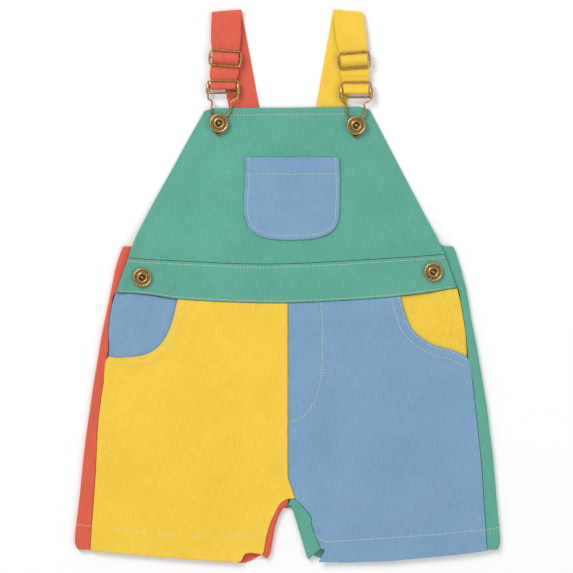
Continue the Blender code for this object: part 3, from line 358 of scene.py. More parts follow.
def rim_shares(length, count, start_rim=True, end_rim=True):
    """Shares 0 to 1 for the rows of a panel, close together at its edges so that they can be rounded."""
    start = [step / length for step in EDGE_STEPS] if start_rim else [0.0]
    end = [1.0 - step / length for step in reversed(EDGE_STEPS)] if end_rim else [1.0]
    between = np.linspace(start[-1], end[0], count)[1:-1]
    return np.concatenate([start, between, end])


def coons(top, bottom, start_side, end_side, us, vs):
    """A grid of points that fills four edges. The sides run from the top to the bottom."""
    across_top = spline(top, us)[None, :, :]
    across_bottom = spline(bottom, us)[None, :, :]
    down_start = spline(start_side, vs)[:, None, :]
    down_end = spline(end_side, vs)[:, None, :]
    u = us[None, :, None]
    v = vs[:, None, None]
    corners = ((1 - u) * (1 - v) * across_top[:, :1] + u * (1 - v) * across_top[:, -1:]
               + (1 - u) * v * across_bottom[:, :1] + u * v * across_bottom[:, -1:])
    return (1 - v) * across_top + v * across_bottom + (1 - u) * down_start + u * down_end - corners


def line_distance(x, y, line):
    """How far points lie from a line, and how far along it they are nearest."""
    line = np.asarray(line, float)
    nearest = np.full(np.shape(x), 1e9)
    along = np.zeros(np.shape(x))
    run = 0.0
    for (x1, y1), (x2, y2) in zip(line, line[1:]):
        length = math.hypot(x2 - x1, y2 - y1)
        share = np.clip(((x - x1) * (x2 - x1) + (y - y1) * (y2 - y1)) / length ** 2, 0.0, 1.0)
        reach = np.hypot(x - x1 - share * (x2 - x1), y - y1 - share * (y2 - y1))
        closer = reach < nearest
        nearest = np.where(closer, reach, nearest)
        along = np.where(closer, run + share * length, along)
        run += length
    return nearest, along


def creased(x, y, creases):
    """How much the creases raise the cloth at points."""
    rise = np.zeros(np.shape(x))
    for crease in creases:
        way = (crease.end_x - crease.start_x, crease.end_y - crease.start_y)
        middle = (crease.start_x + way[0] / 2 - crease.bow * way[1] / math.hypot(*way),
                  crease.start_y + way[1] / 2 + crease.bow * way[0] / math.hypot(*way))
        line = smooth_line([(crease.start_x, crease.start_y), middle, (crease.end_x, crease.end_y)], 13)
        reach, along = line_distance(x, y, line)
        share = along / math.hypot(*way)
        fade = smoothstep(share / 0.35) * smoothstep((1.0 - share) / 0.35)
        rise -= crease.depth * np.exp(-(reach / (0.5 * crease.width)) ** 2) * fade
    return rise


def seam_pull(x, y, line, seed, depth=0.22, pucker=0.1, spread=5.0, groove=0.8):
    """The groove of a row of stitches and the small uneven puckers beside it."""
    reach, along = line_distance(x, y, line)
    chance = np.random.default_rng(seed)
    phases = chance.uniform(0.0, 2.0 * math.pi, 3)
    waves = (np.sin(along / 1.15 + phases[0]) * 0.4 + np.sin(along / 0.74 + phases[1]) * 0.25
             + np.sin(along / 2.4 + phases[2]) * 0.55)
    return -depth * np.exp(-(reach / groove) ** 2) + pucker * waves * np.exp(-(reach / spread) ** 2)


# Meshes

surfaces = {}


def mesh_object(name, points, faces, material, uvs=None):
    """A mesh in metres on the frame's axes, riding on the part."""
    mesh = bpy.data.meshes.new(name)
    places = (np.asarray(points, float) - (0.0, CENTRE_Y, 0.0)) * MM
    mesh.from_pydata([tuple(p) for p in places], [], [tuple(f) for f in faces])
    if uvs is not None:
        layer = mesh.uv_layers.new(name="grain")
        corners = np.empty(len(mesh.loops), dtype=np.int32)
        mesh.loops.foreach_get("vertex_index", corners)
        layer.data.foreach_set("uv", np.asarray(uvs, float)[corners].ravel())
    mesh.shade_smooth()
    mesh.materials.append(material)
    made = bpy.data.objects.new(name, mesh)
    bpy.context.scene.collection.objects.link(made)
    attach(made, "root")
    return made


def normals_of(grid, up_row, up_column):
    """Unit normals of a grid, pointing up at the named row and column."""
    normal = np.cross(np.gradient(grid, axis=0), np.gradient(grid, axis=1))
    length = np.linalg.norm(normal, axis=2, keepdims=True)
    normal = normal / np.maximum(length, 1e-12)
    return normal if normal[up_row, up_column, 2] > 0 else -normal


def inward_reach(grid):
    """How far each point of a grid lies from the nearest edge, along the grid's lines."""
    across = np.linalg.norm(np.diff(grid, axis=1), axis=2)
    down = np.linalg.norm(np.diff(grid, axis=0), axis=2)
    rows, columns = grid.shape[:2]
    from_start = np.concatenate([np.zeros((rows, 1)), np.cumsum(across, axis=1)], axis=1)
    from_top = np.concatenate([np.zeros((1, columns)), np.cumsum(down, axis=0)], axis=0)
    to_end = from_start[:, -1:] - from_start
    to_bottom = from_top[-1:] - from_top
    return np.minimum(np.minimum(from_start, to_end), np.minimum(from_top, to_bottom))


def shell(name, middle, wall, cloth, grain, up=None):
    """A closed cloth shell round a grid of middle points, with rounded edges."""
    rows, columns = middle.shape[:2]
    up_row, up_column = up or (rows // 2, columns // 2)
    normal = normals_of(middle, up_row, up_column)
    half = np.broadcast_to(np.asarray(wall, float) / 2, (rows, columns))
    reach = np.minimum(inward_reach(middle) / half, 1.0)
    swell = (half * np.sqrt(np.maximum(1.0 - (1.0 - reach) ** 2, 0.0)))[..., None]
    over = middle + normal * swell
    under = middle - normal * swell
    edge = np.zeros((rows, columns), bool)
    edge[[0, -1], :] = True
    edge[:, [0, -1]] = True
    over_index = np.arange(rows * columns).reshape(rows, columns)
    under_index = over_index.copy()
    under_index[~edge] = rows * columns + np.arange(int((~edge).sum()))
    points = np.concatenate([over.reshape(-1, 3), under[~edge]])
    uvs = np.concatenate([grain.reshape(-1, 2), grain[~edge]])

    def quads(index, turned):
        corners = [index[:-1, :-1], index[1:, :-1], index[1:, 1:], index[:-1, 1:]]
        if turned:
            corners.reverse()
        return np.stack([corner.ravel() for corner in corners], axis=1)

    step_down = middle[up_row + 1, up_column] - middle[up_row, up_column]
    step_across = middle[up_row, up_column + 1] - middle[up_row, up_column]
    faces_up = np.cross(step_down, step_across)[2] > 0
    faces = np.concatenate([quads(over_index, not faces_up), quads(under_index, faces_up)])
    made = mesh_object(name, points, faces, cloth, uvs)
    surfaces[name] = BVHTree.FromPolygons([tuple(p) for p in points], [tuple(f) for f in faces])
    return made


def flat_shell(name, grid, top, wall, cloth):
    """A shell on a grid of flat points, whose top lies at the heights top."""
    middle = np.dstack([grid[..., 0], grid[..., 1], top - np.asarray(wall) / 2])
    return shell(name, middle, wall, cloth, grid)


def top_of(name, x, y):
    """The height of a piece's top at a place."""
    place, _, _, _ = surfaces[name].ray_cast(Vector((x, y, 40.0)), Vector((0.0, 0.0, -1.0)))
    return None if place is None else place.z


# Materials

def noise(tree, place, scale, detail, roughness=0.5, spread=(1.0, 1.0, 1.0)):
    """A noise texture on the cloth's own grain, in millimetres."""
    mapping = tree.nodes.new("ShaderNodeMapping")
    mapping.inputs["Scale"].default_value = spread
    tree.links.new(place, mapping.inputs["Vector"])
    texture = tree.nodes.new("ShaderNodeTexNoise")
    texture.inputs["Scale"].default_value = scale
    texture.inputs["Detail"].default_value = detail
    texture.inputs["Roughness"].default_value = roughness
    tree.links.new(mapping.outputs["Vector"], texture.inputs["Vector"])
    return texture.outputs["Fac"]


def ranged(tree, value, low, high, from_low=0.3, from_high=0.7):
    """A value moved from one range to another."""
    node = tree.nodes.new("ShaderNodeMapRange")
    node.inputs["From Min"].default_value = from_low
    node.inputs["From Max"].default_value = from_high
    node.inputs["To Min"].default_value = low
    node.inputs["To Max"].default_value = high
    tree.links.new(value, node.inputs["Value"])
    return node.outputs["Result"]


def combined(tree, operation, first, second):
    """Two values through one math node."""
    node = tree.nodes.new("ShaderNodeMath")
    node.operation = operation
    for socket, value in zip(node.inputs, (first, second)):
        if isinstance(value, float):
            socket.default_value = value
        else:
            tree.links.new(value, socket)
    return node.outputs["Value"]


def linear(colour):
    """An sRGB colour of 0 to 255 as linear light."""
    shares = [channel / 255.0 for channel in colour]
    return tuple(s / 12.92 if s <= 0.04045 else ((s + 0.055) / 1.055) ** 2.4 for s in shares)


def started(name):
    """A new node material, with its tree and its shader."""
    made = bpy.data.materials.new(name)
    made.use_nodes = True
    return made, made.node_tree, made.node_tree.nodes["Principled BSDF"]


def shaded(tree, shader, share, first, second):
    """The base colour, mixed from two linear colours."""
    shade = tree.nodes.new("ShaderNodeMix")
    shade.data_type = "RGBA"
    shade.inputs["A"].default_value = (*first, 1.0)
    shade.inputs["B"].default_value = (*second, 1.0)
    tree.links.new(share, shade.inputs["Factor"])
    tree.links.new(shade.outputs["Result"], shader.inputs["Base Color"])


def bumped(tree, shader, height, strength, depth):
    """A fine relief, its depth in millimetres."""
    bump = tree.nodes.new("ShaderNodeBump")
    bump.inputs["Strength"].default_value = strength
    bump.inputs["Distance"].default_value = depth * MM
    tree.links.new(height, bump.inputs["Height"])
    tree.links.new(bump.outputs["Normal"], shader.inputs["Normal"])


def cloth_material(name, colour, deep, seed):
    """Cotton twill: slubby warp streaks, a finer weft, the twill's diagonal, soft clouds and a slight nap."""
    made, tree, shader = started(name)
    grain = tree.nodes.new("ShaderNodeUVMap")
    grain.uv_map = "grain"
    move = tree.nodes.new("ShaderNodeVectorMath")
    move.operation = "ADD"
    move.inputs[1].default_value = (seed * 37.0, seed * 91.0, seed * 13.0)
    tree.links.new(grain.outputs["UV"], move.inputs[0])
    place = move.outputs["Vector"]
    slub = noise(tree, place, 1.0, 2.0, spread=(1.5, 0.1, 1.0))
    weft = noise(tree, place, 1.0, 2.0, spread=(0.12, 1.7, 1.0))
    fibre = noise(tree, place, 2.6, 3.0)
    cloud = noise(tree, place, 0.028, 2.0)
    twill = tree.nodes.new("ShaderNodeTexWave")
    twill.wave_type = "BANDS"
    twill.bands_direction = "DIAGONAL"
    twill.inputs["Scale"].default_value = 0.42
    twill.inputs["Distortion"].default_value = 0.6
    twill.inputs["Detail"].default_value = 1.0
    tree.links.new(place, twill.inputs["Vector"])
    streaks = ranged(tree, slub, -0.5, 0.5)
    crossing = ranged(tree, weft, -0.35, 0.35)
    specks = ranged(tree, fibre, -0.4, 0.4)
    clouds = ranged(tree, cloud, -0.25, 0.25)
    tone = combined(tree, "ADD", streaks, crossing)
    tone = combined(tree, "ADD", tone, specks)
    tone = combined(tree, "ADD", tone, clouds)
    tone = combined(tree, "ADD", tone, ranged(tree, twill.outputs["Fac"], -0.12, 0.12, 0.0, 1.0))
    share = ranged(tree, tone, 0.0, 1.0, -1.0, 1.0)
    shaded(tree, shader, share, linear(deep), linear(colour))
    tree.links.new(ranged(tree, fibre, 0.82, 0.96), shader.inputs["Roughness"])
    shader.inputs["Specular IOR Level"].default_value = 0.25
    shader.inputs["Sheen Weight"].default_value = 0.12
    shader.inputs["Sheen Roughness"].default_value = 0.5
    relief = combined(tree, "ADD", streaks, crossing)
    relief = combined(tree, "ADD", relief, ranged(tree, twill.outputs["Fac"], -0.3, 0.3, 0.0, 1.0))
    bumped(tree, shader, relief, 0.35, 0.12)
    return made


def brass_material():
    """Antique brass: dull dark metal in the hollows, worn brighter where it is rubbed."""
    made, tree, shader = started("antique_brass")
    place = tree.nodes.new("ShaderNodeTexCoord").outputs["Object"]
    patches = noise(tree, place, 900.0, 3.0)
    scratches = noise(tree, place, 500.0, 4.0, spread=(1.0, 4.0, 1.0))
    worn = tree.nodes.new("ShaderNodeAttribute")
    worn.attribute_name = "worn"
    share = combined(tree, "ADD", worn.outputs["Fac"], ranged(tree, patches, -0.3, 0.3))
    shaded(tree, shader, share, linear((66, 50, 34)), linear((214, 172, 108)))
    tree.links.new(ranged(tree, scratches, 0.26, 0.5), shader.inputs["Roughness"])
    shader.inputs["Metallic"].default_value = 1.0
    bumped(tree, shader, scratches, 0.25, 0.05)
    return made


def thread_material(name, colour):
    """Twisted sewing thread."""
    made, tree, shader = started(name)
    place = tree.nodes.new("ShaderNodeTexCoord").outputs["Object"]
    twist = noise(tree, place, 2200.0, 1.0)
    dark = linear([0.8 * channel for channel in colour])
    shaded(tree, shader, ranged(tree, twist, 0.0, 1.0), dark, linear(colour))
    shader.inputs["Roughness"].default_value = 0.7
    shader.inputs["Sheen Weight"].default_value = 0.2
    bumped(tree, shader, twist, 0.4, 0.05)
    return made


CLOTHS = {
    "yellow": cloth_material("yellow_twill", (246, 208, 78), (226, 186, 52), 1),
    "blue": cloth_material("blue_twill", (130, 166, 197), (108, 145, 176), 2),
    "green": cloth_material("green_twill", (102, 174, 154), (80, 153, 134), 3),
    "red": cloth_material("red_twill", (226, 104, 82), (203, 82, 62), 4),
}
BRASS = brass_material()
CREAM = thread_material("cream_thread", (236, 230, 190))


# The back legs

LEAD = 3.0
LEAD_STEPS = 3
ARC_STEPS = 12
STRIP_STEPS = 16
PLACKET_DROP = 1.5
PLACKET_DROP_RUN = 12.0
SIDE_FINE = 8
INNER_FINE = 7
APEX_STEPS = 16
SMALLEST_STRIP = 0.2
APEX_RUN = 4.0
CROTCH_CLEARANCE = 0.4
LEAD_ASIDE = 1.3
LEAD_ASIDE_ROWS = 4.0
BACK_RISE_SHARE = 0.5
BACK_INSET = 0.1


def refined(rows, fine):
    """The rows of a table with fine steps between each two."""
    count = fine * (len(rows) - 1) + 1
    return spline(rows, np.linspace(0.0, 1.0, count))


def hook(start, tangent, inward, angle, strip, drop):
    """The middle line of a back leg's turned-up edge: lead-in, fold and strip on the front, with lengths."""
    start = np.asarray(start, float)
    tangent = np.asarray(tangent, float)
    inward = np.asarray(inward, float)
    lead = float(np.hypot(*(tangent - start)))
    radius = FOLD_RADIUS - WALL / 2
    arc = radius * angle
    total = lead + arc + strip
    edge = total - np.array([0.55, 0.25, 0.07, 0.0])
    if angle > math.pi - 0.01:
        last = edge[0] if strip > 1.5 else total - 0.56
        stations = np.concatenate([
            np.linspace(0.0, lead, LEAD_STEPS + 1)[:-1],
            lead + np.linspace(0.0, arc, ARC_STEPS + 1)[:-1],
            np.linspace(lead + arc, last, STRIP_STEPS + 1)[:-1], edge])
    else:
        stations = np.concatenate([
            np.linspace(0.0, edge[0], LEAD_STEPS + ARC_STEPS + STRIP_STEPS + 1)[:-1], edge])
    points = np.zeros((len(stations), 3))
    on_lead = stations <= lead
    share = stations / max(lead, 1e-9)
    points[on_lead, :2] = start + (tangent - start) * share[on_lead, None]
    points[on_lead, 2] = WALL / 2
    on_arc = ~on_lead & (stations <= lead + arc + 1e-6)
    turn = (stations - lead) / radius
    points[on_arc, :2] = tangent - inward * (radius * np.sin(turn[on_arc]))[:, None]
    points[on_arc, 2] = FOLD_RADIUS - radius * np.cos(turn[on_arc])
    on_strip = ~on_lead & ~on_arc
    reach = stations - lead - arc
    fall = drop * smoothstep(reach / PLACKET_DROP_RUN)
    points[on_strip, :2] = tangent + inward * reach[on_strip, None]
    points[on_strip, 2] = (2 * FOLD_RADIUS - WALL / 2 - fall)[on_strip]
    return points, stations


def outer_hooks(side):
    """The hooks at one outer side, from the waist to the hem."""
    table = [(s.y + (s.left_rise if side > 0 else 0.0), s.right_fold if side < 0 else s.left_fold,
              s.right_seam if side < 0 else s.left_seam, PLACKET_DROP if index < PLACKET_ROWS else 0.0)
             for index, s in enumerate(SIDES)]
    hooks = []
    for y, fold, seam, drop in refined(table, SIDE_FINE):
        tangent = (fold - side * FOLD_RADIUS, y)
        start = (tangent[0] - side * LEAD, y)
        strip = abs(seam - fold) - FOLD_RADIUS
        drop = np.clip(drop, 0.0, PLACKET_DROP)
        hooks.append((start, hook(start, tangent, (-side, 0.0), math.pi, strip, drop)))
    return hooks


def inner_hooks(side):
    """The inner edge of one back leg: the flat centre seam, the turn at the crotch and the inner leg."""
    sections = refined(INNER_RIGHT if side < 0 else INNER_LEFT, INNER_FINE)
    seam_x = CENTRE_SEAM_X + side * GAP / 2
    hooks = []
    rows = SIDE_FINE * (len(SIDES) - 1) + 1
    flat_rows = rows - len(sections) - APEX_STEPS
    crotch_y = sections[0][1] + FOLD_RADIUS + CROTCH_CLEARANCE
    for row in range(flat_rows):
        y = BACK_TOP_Y + (crotch_y - APEX_RUN - BACK_TOP_Y) * row / (flat_rows - 1)
        start = (seam_x + side * LEAD, y)
        hooks.append((start, hook(start, (seam_x, y), (side, 0.0), 0.0, 0.0, 0.0)))
    full = []
    for index, (fold_x, fold_y, section_x, section_y) in enumerate(sections):
        inward = unit(section_x - fold_x, section_y - fold_y)
        tangent = (fold_x + inward[0] * FOLD_RADIUS, fold_y + inward[1] * FOLD_RADIUS)
        aside = LEAD_ASIDE * max(0.0, 1.0 - index / (LEAD_ASIDE_ROWS * INNER_FINE))
        lead_way = unit(inward[0] + side * aside, inward[1])
        start = (tangent[0] + lead_way[0] * LEAD, tangent[1] + lead_way[1] * LEAD)
        strip = math.hypot(section_x - fold_x, section_y - fold_y) - FOLD_RADIUS
        full.append((start, tangent, inward, strip))
    first_start, first_tangent, first_inward, _ = full[0]
    last_start = np.array((seam_x + side * LEAD, crotch_y))
    for step in range(APEX_STEPS):
        share = step / APEX_STEPS
        start = last_start + (np.array(first_start) - last_start) * share
        tangent = np.array((seam_x, crotch_y)) * (1 - share) + np.array(first_tangent) * share
        angle = math.pi * step / (APEX_STEPS - 1)
        hooks.append((tuple(start), hook(start, tangent, first_inward, angle, SMALLEST_STRIP * share, 0.0)))
    for start, tangent, inward, strip in full:
        hooks.append((start, hook(start, tangent, inward, math.pi, strip, 0.0)))
    return hooks


CASING_LINE_RIGHT = [(-106.0, 24.2), (-118.0, 24.2), (-136.0, 23.4)]
CASING_LINE_LEFT = [(106.0, 22.0), (127.9, 23.9), (137.0, 27.0)]
HEM_LINE_LEFT = [(11.0, -204.9), (14.5, -200.6), (19.8, -197.0), (29.7, -204.1), (74.8, -201.4),
                 (121.2, -198.1), (158.0, -194.2), (171.0, -192.3)]
HEM_LINE_RIGHT = [(-10.5, -198.9), (-16.0, -198.6), (-19.0, -197.0), (-60.0, -201.0), (-108.0, -196.8),
                  (-156.0, -191.6), (-171.0, -190.0)]


def back_leg(name, side, colour):
    """One back leg: the outer hook, the flat back and the inner hook, joined row by row."""
    outer_side = outer_hooks(side)
    inner_side = inner_hooks(side)
    columns = 26
    waist_middle = BACK_WAIST_RIGHT if side < 0 else BACK_WAIST_LEFT
    waist = smooth_line([outer_side[0][0]] + waist_middle + [inner_side[0][0]], 9)
    hem_middle = BACK_HEM_RIGHT if side < 0 else BACK_HEM_LEFT
    hem = smooth_line([outer_side[-1][0]] + hem_middle + [inner_side[-1][0]], 9)
    starts = np.array([start for start, _ in outer_side])
    ends = np.array([start for start, _ in inner_side])
    shares = np.linspace(0.0, 1.0, len(outer_side))
    flat = coons(waist, hem, starts, ends, np.linspace(0.0, 1.0, columns), shares)
    rows = []
    grain = []
    for row, (_, (outer, outer_run)), (_, (inner, inner_run)) in zip(flat, outer_side, inner_side):
        level = np.column_stack([row[1:-1], np.full(columns - 2, WALL / 2)])
        line = np.concatenate([outer[::-1], level, inner])
        rows.append(line)
        steps = np.linalg.norm(np.diff(line, axis=0), axis=1)
        run = np.concatenate([[0.0], np.cumsum(steps)])
        grain.append(np.column_stack([run, np.full(len(run), row[:, 1].mean())]))
    middle = np.array(rows)
    x, y, z = middle[..., 0], middle[..., 1], middle[..., 2]
    on_top = z > FOLD_RADIUS
    hem_line = HEM_LINE_RIGHT if side < 0 else HEM_LINE_LEFT
    casing = CASING_LINE_RIGHT if side < 0 else CASING_LINE_LEFT
    pull = seam_pull(x, y, hem_line, 11 + side, pucker=0.06) + seam_pull(x, y, casing, 15 + side, pucker=0.08)
    creases = BACK_CREASES
    if side < 0:
        creases = [crease._replace(start_x=-crease.start_x, end_x=-crease.end_x) for crease in BACK_CREASES]
    under_rise = np.maximum(creased(x, y, creases), 0.0)
    middle[..., 2] += np.where(on_top, pull, BACK_RISE_SHARE * under_rise)
    centre = (len(rows) // 2, len(outer_side[0][1][0]) + columns // 2)
    return shell(name, middle, WALL - BACK_INSET, CLOTHS[colour], np.array(grain), up=centre)


# The front panels

def waist_seam():
    """The waistband's bottom seam, from side to side."""
    return smooth_line([(s.bottom_x, s.bottom_y) for s in WAIST], 145)


def front_seams(side):
    """The front leg's inner edge and outer edge, from the waist to the hem."""
    seam_x = CENTRE_SEAM_X + side * GAP / 2
    scoop = SCOOP_RIGHT if side < 0 else SCOOP_LEFT
    sections = INNER_RIGHT if side < 0 else INNER_LEFT
    waist_y = float(height_on(waist_seam(), seam_x)) - GAP
    bend = [(seam_x + place.aside, place.y) for place in CROTCH_BEND]
    inner = []
    for section in sections:
        away = unit(section.seam_x - section.fold_x, section.seam_y - section.fold_y)
        inner.append((section.seam_x + away[0] * GAP, section.seam_y + away[1] * GAP))
    if side > 0:
        inner = inner[2:] + HEM_NOTCH_LEFT + [HEM_LEFT[0]]
    else:
        inner[-1] = HEM_RIGHT[0]
    side_rows = SIDES[-SIDE_SEAM_ROWS:]
    outer = [((s.right_seam if side < 0 else s.left_seam) - side * GAP, s.y) for s in side_rows]
    outer[-1] = (HEM_RIGHT if side < 0 else HEM_LEFT)[-1]
    rows = 21
    straight = even([(seam_x, waist_y), (seam_x, CENTRE_SEAM_END_Y)], rows - len(inner) - len(bend))
    centre_rows = [tuple(p) for p in straight] + bend
    scoop_rows = [tuple(p) for p in smooth_line(scoop[:-1] + [outer[0]], rows - len(outer) + 1)[:-1]]
    return centre_rows + inner, scoop_rows + outer


FLY_LINE = [(26.4, -13.0), (27.7, -25.4), (28.2, -42.7), (27.3, -68.7), (25.5, -79.1), (22.0, -91.3),
            (16.9, -99.9), (9.9, -106.0), (1.4, -108.6)]


def front_leg(name, side, colour):
    """One front leg panel, with its scooped pocket mouth, hem and creases."""
    inner, outer = front_seams(side)
    bottom_seam = waist_seam()
    xs = np.linspace(inner[0][0], outer[0][0], 13)
    waist = [(x, float(height_on(bottom_seam, x)) - GAP) for x in xs]
    outer[0] = waist[-1]
    hem_points = HEM_RIGHT if side < 0 else HEM_LEFT
    hem = even(hem_points, 13)
    if side < 0:
        hem = np.concatenate([HEM_RIGHT[:3], even(HEM_RIGHT[2:], 11)[1:]])
    us = rim_shares(130.0, 118)
    vs = rim_shares(205.0, 168)
    grid = coons(waist, hem, inner, outer, us, vs)
    x, y = grid[..., 0], grid[..., 1]
    u = us[None, :]
    v = vs[:, None]
    middle = np.sqrt(np.sin(np.pi * np.clip(u, 0, 1)))
    middle = middle * smoothstep(SINK_RUNS * v) * smoothstep(SINK_RUNS * (1 - v))
    swell = SWELL_ACROSS.height * np.sin(x / SWELL_ACROSS.x_run + y / SWELL_ACROSS.y_run)
    swell = swell + SWELL_DOWN.height * np.sin(y / SWELL_DOWN.y_run - x / SWELL_DOWN.x_run)
    top = FRONT_TOP - middle * (PANEL_SINK - swell)
    top = top + creased(x, y, YELLOW_CREASES if side < 0 else BLUE_CREASES) * np.clip(4 * middle, 0, 1)
    hem_line = HEM_LINE_RIGHT if side < 0 else HEM_LINE_LEFT
    in_hem, _ = line_distance(x, y, hem_line)
    below = y < height_on(hem_line[2:], x)
    top = top + 0.3 * smoothstep(np.where(below, in_hem + 0.6, 0.0) / 1.4)
    top = top + seam_pull(x, y, hem_line[2:], 21 + side, pucker=0.09, spread=7.0)
    scoop = SCOOP_RIGHT if side < 0 else SCOOP_LEFT
    edge_line = smooth_line(scoop, 60)
    for inset, seed in zip(SCOOP_STITCH_INSETS, (31, 33)):
        top = top + seam_pull(x, y, offset_line(edge_line, inset * -side), seed + side, pucker=0.05)
    reach, _ = line_distance(x, y, edge_line)
    top = top + 0.25 * (1.0 - smoothstep((reach - 7.0) / 2.0))
    seam_reach = np.abs(x - CENTRE_SEAM_X)
    above_crotch = smoothstep((y + 168.0) / 10.0)
    lift = 0.3 if side > 0 else -0.25
    top = top + lift * np.exp(-(seam_reach / 2.6) ** 2) * above_crotch
    top = top + seam_pull(x, y, [(CENTRE_SEAM_X, -14.0), (CENTRE_SEAM_X, -168.0)], 41 + side, depth=0.0,
                          pucker=0.12, spread=8.0)
    top = top + seam_pull(x, y, bottom_seam, 43 + side, depth=0.0, pucker=0.14, spread=7.0)
    if side > 0:
        top = top + seam_pull(x, y, FLY_LINE, 45, pucker=0.07)
    side_line = even([outer[index] for index in range(-SIDE_SEAM_ROWS, 0)], 40)
    top = top + seam_pull(x, y, side_line, 47 + side, depth=0.0, pucker=0.12, spread=6.0)
    return flat_shell(name, grid, top, PANEL, CLOTHS[colour])


def offset_line(line, reach):
    """A line moved sideways, to the left of its run where reach is positive."""
    line = np.asarray(line, float)
    way = np.gradient(line, axis=0)
    way /= np.linalg.norm(way, axis=1)[:, None]
    return line + reach * np.column_stack([-way[:, 1], way[:, 0]])


def pocket_facing(name, side, colour):
    """The facing that shows in one pocket scoop, with a lap under the front leg."""
    scoop = SCOOP_RIGHT if side < 0 else SCOOP_LEFT
    bottom_seam = waist_seam()
    edge = []
    for section in SIDES[PLACKET_ROWS:]:
        if section.y > -72.0:
            seam = section.right_seam if side < 0 else section.left_seam
            edge.append((seam - side * GAP, section.y + (section.left_rise if side > 0 else 0.0)))
    edge[-1] = (edge[-1][0] - side * 2 * GAP, FACING_SEAM_END_Y)
    edge.append((edge[-1][0] + side * 4 * GAP, FACING_END_Y))
    edge[0] = (edge[0][0], float(height_on(bottom_seam, edge[0][0])) - GAP)
    lap = []
    for index, (x, y) in enumerate(scoop[:-1]):
        ahead = scoop[index + 1]
        behind = scoop[max(index - 1, 0)]
        along = unit(ahead[0] - behind[0], ahead[1] - behind[1])
        lap.append((x + side * along[1] * FACING_LAP, y - side * along[0] * FACING_LAP))
    corner = FACING_CORNER_RIGHT if side < 0 else FACING_CORNER_LEFT
    lap = [point for point in lap if abs(point[0]) < abs(corner[0]) - FACING_LAP - 1.0] + [corner]
    lap[0] = (lap[0][0], float(height_on(bottom_seam, lap[0][0])) - GAP)
    outer = smooth_line(edge, 16)
    inner = smooth_line(lap, 16)
    xs = np.linspace(outer[0][0], inner[0][0], 9)
    waist = [(x, float(height_on(bottom_seam, x)) - GAP) for x in xs]
    bottom = even([outer[-1], inner[-1]], 9)
    us = rim_shares(46.0, 70)
    vs = rim_shares(60.0, 84)
    grid = coons(waist, bottom, outer, inner, us, vs)
    x, y = grid[..., 0], grid[..., 1]
    share = smoothstep(us[None, :] / 0.55) + smoothstep((vs[:, None] - 0.5) / 0.22)
    top = FRONT_TOP - (FRONT_TOP - FACING_LOW_TOP) * np.minimum(share, 1.0)
    creases = BLUE_FACING_CREASES if side < 0 else YELLOW_FACING_CREASES
    top = top + creased(x, y, creases)
    edge_stitch = offset_line(outer, 6.4 * side)
    top = top + seam_pull(x, y, edge_stitch, 51 + side, pucker=0.1)
    top = top + seam_pull(x, y, bottom_seam, 53 + side, depth=0.0, pucker=0.12, spread=6.0)
    return flat_shell(name, grid, top, PANEL, CLOTHS[colour])


def fold_at(x, y):
    """How far in from the back leg's outer fold points lie."""
    ys = np.array([s.y for s in SIDES])[::-1]
    right = np.interp(y, ys, np.array([s.right_fold for s in SIDES])[::-1])
    left = np.interp(y, ys, np.array([s.left_fold for s in SIDES])[::-1])
    slope_right = (SIDES[0].right_fold - SIDES[1].right_fold) / (SIDES[0].y - SIDES[1].y)
    slope_left = (SIDES[0].left_fold - SIDES[1].left_fold) / (SIDES[0].y - SIDES[1].y)
    beyond = np.maximum(y - SIDES[0].y, 0.0)
    return np.where(x < 0, x - (right + slope_right * beyond), left + slope_left * beyond - x)


def lift_over_fold(x, y):
    """The rise of the waistband and the bib where they pass over the back's outer folds."""
    near = 1.0 - smoothstep((fold_at(x, y) - FOLD_LIFT_FROM) / FOLD_LIFT_RUN)
    return FOLD_LIFT * near * (1.0 - smoothstep((y - FOLD_LIFT_END) / FOLD_LIFT_END_RUN))


def button_dimples(x, y, places, reach, depth):
    """The cloth drawn down a little round the buttons."""
    dip = np.zeros(np.shape(x))
    for bx, by in places.values():
        far = np.hypot(x - bx, y - by)
        angle = np.arctan2(y - by, x - bx)
        ripple = 1.0 + 0.35 * np.sin(5.0 * angle + bx) + 0.2 * np.sin(8.0 * angle)
        dip -= depth * ripple * np.exp(-(far / reach) ** 2)
    return dip


def band_lines():
    """The two rows of stitches along the waistband."""
    top = smooth_line([(s.top_x, s.top_y - 2.4) for s in WAIST], 90)
    bottom = smooth_line([(s.bottom_x, s.bottom_y + 1.6) for s in WAIST], 90)
    return top, bottom


def waistband():
    """The front waistband, buttoned at its ends over the back's plackets."""
    top_edge = smooth_line([(s.top_x, s.top_y) for s in WAIST], 19)
    bottom_edge = smooth_line([(s.bottom_x, s.bottom_y) for s in WAIST], 19)
    right_end = even([top_edge[0], bottom_edge[0]], 5)
    left_end = even([top_edge[-1], bottom_edge[-1]], 5)
    us = rim_shares(262.0, 250)
    vs = rim_shares(30.0, 34)
    grid = coons(top_edge, bottom_edge, right_end, left_end, us, vs)
    x, y = grid[..., 0], grid[..., 1]
    top = WAISTBAND_TOP + lift_over_fold(x, y) + creased(x, y, BAND_CREASES)
    for line, seed in zip(band_lines(), (61, 62)):
        top = top + seam_pull(x, y, line, seed, pucker=0.12, spread=6.0)
    top = top + button_dimples(x, y, SIDE_BUTTONS, 9.0, 0.35)
    return flat_shell("waistband", grid, top, BAND, CLOTHS["green"])


def bib_side(y, table):
    """The x of one bib side at a height."""
    return np.interp(y, [p[1] for p in table], [p[0] for p in table])


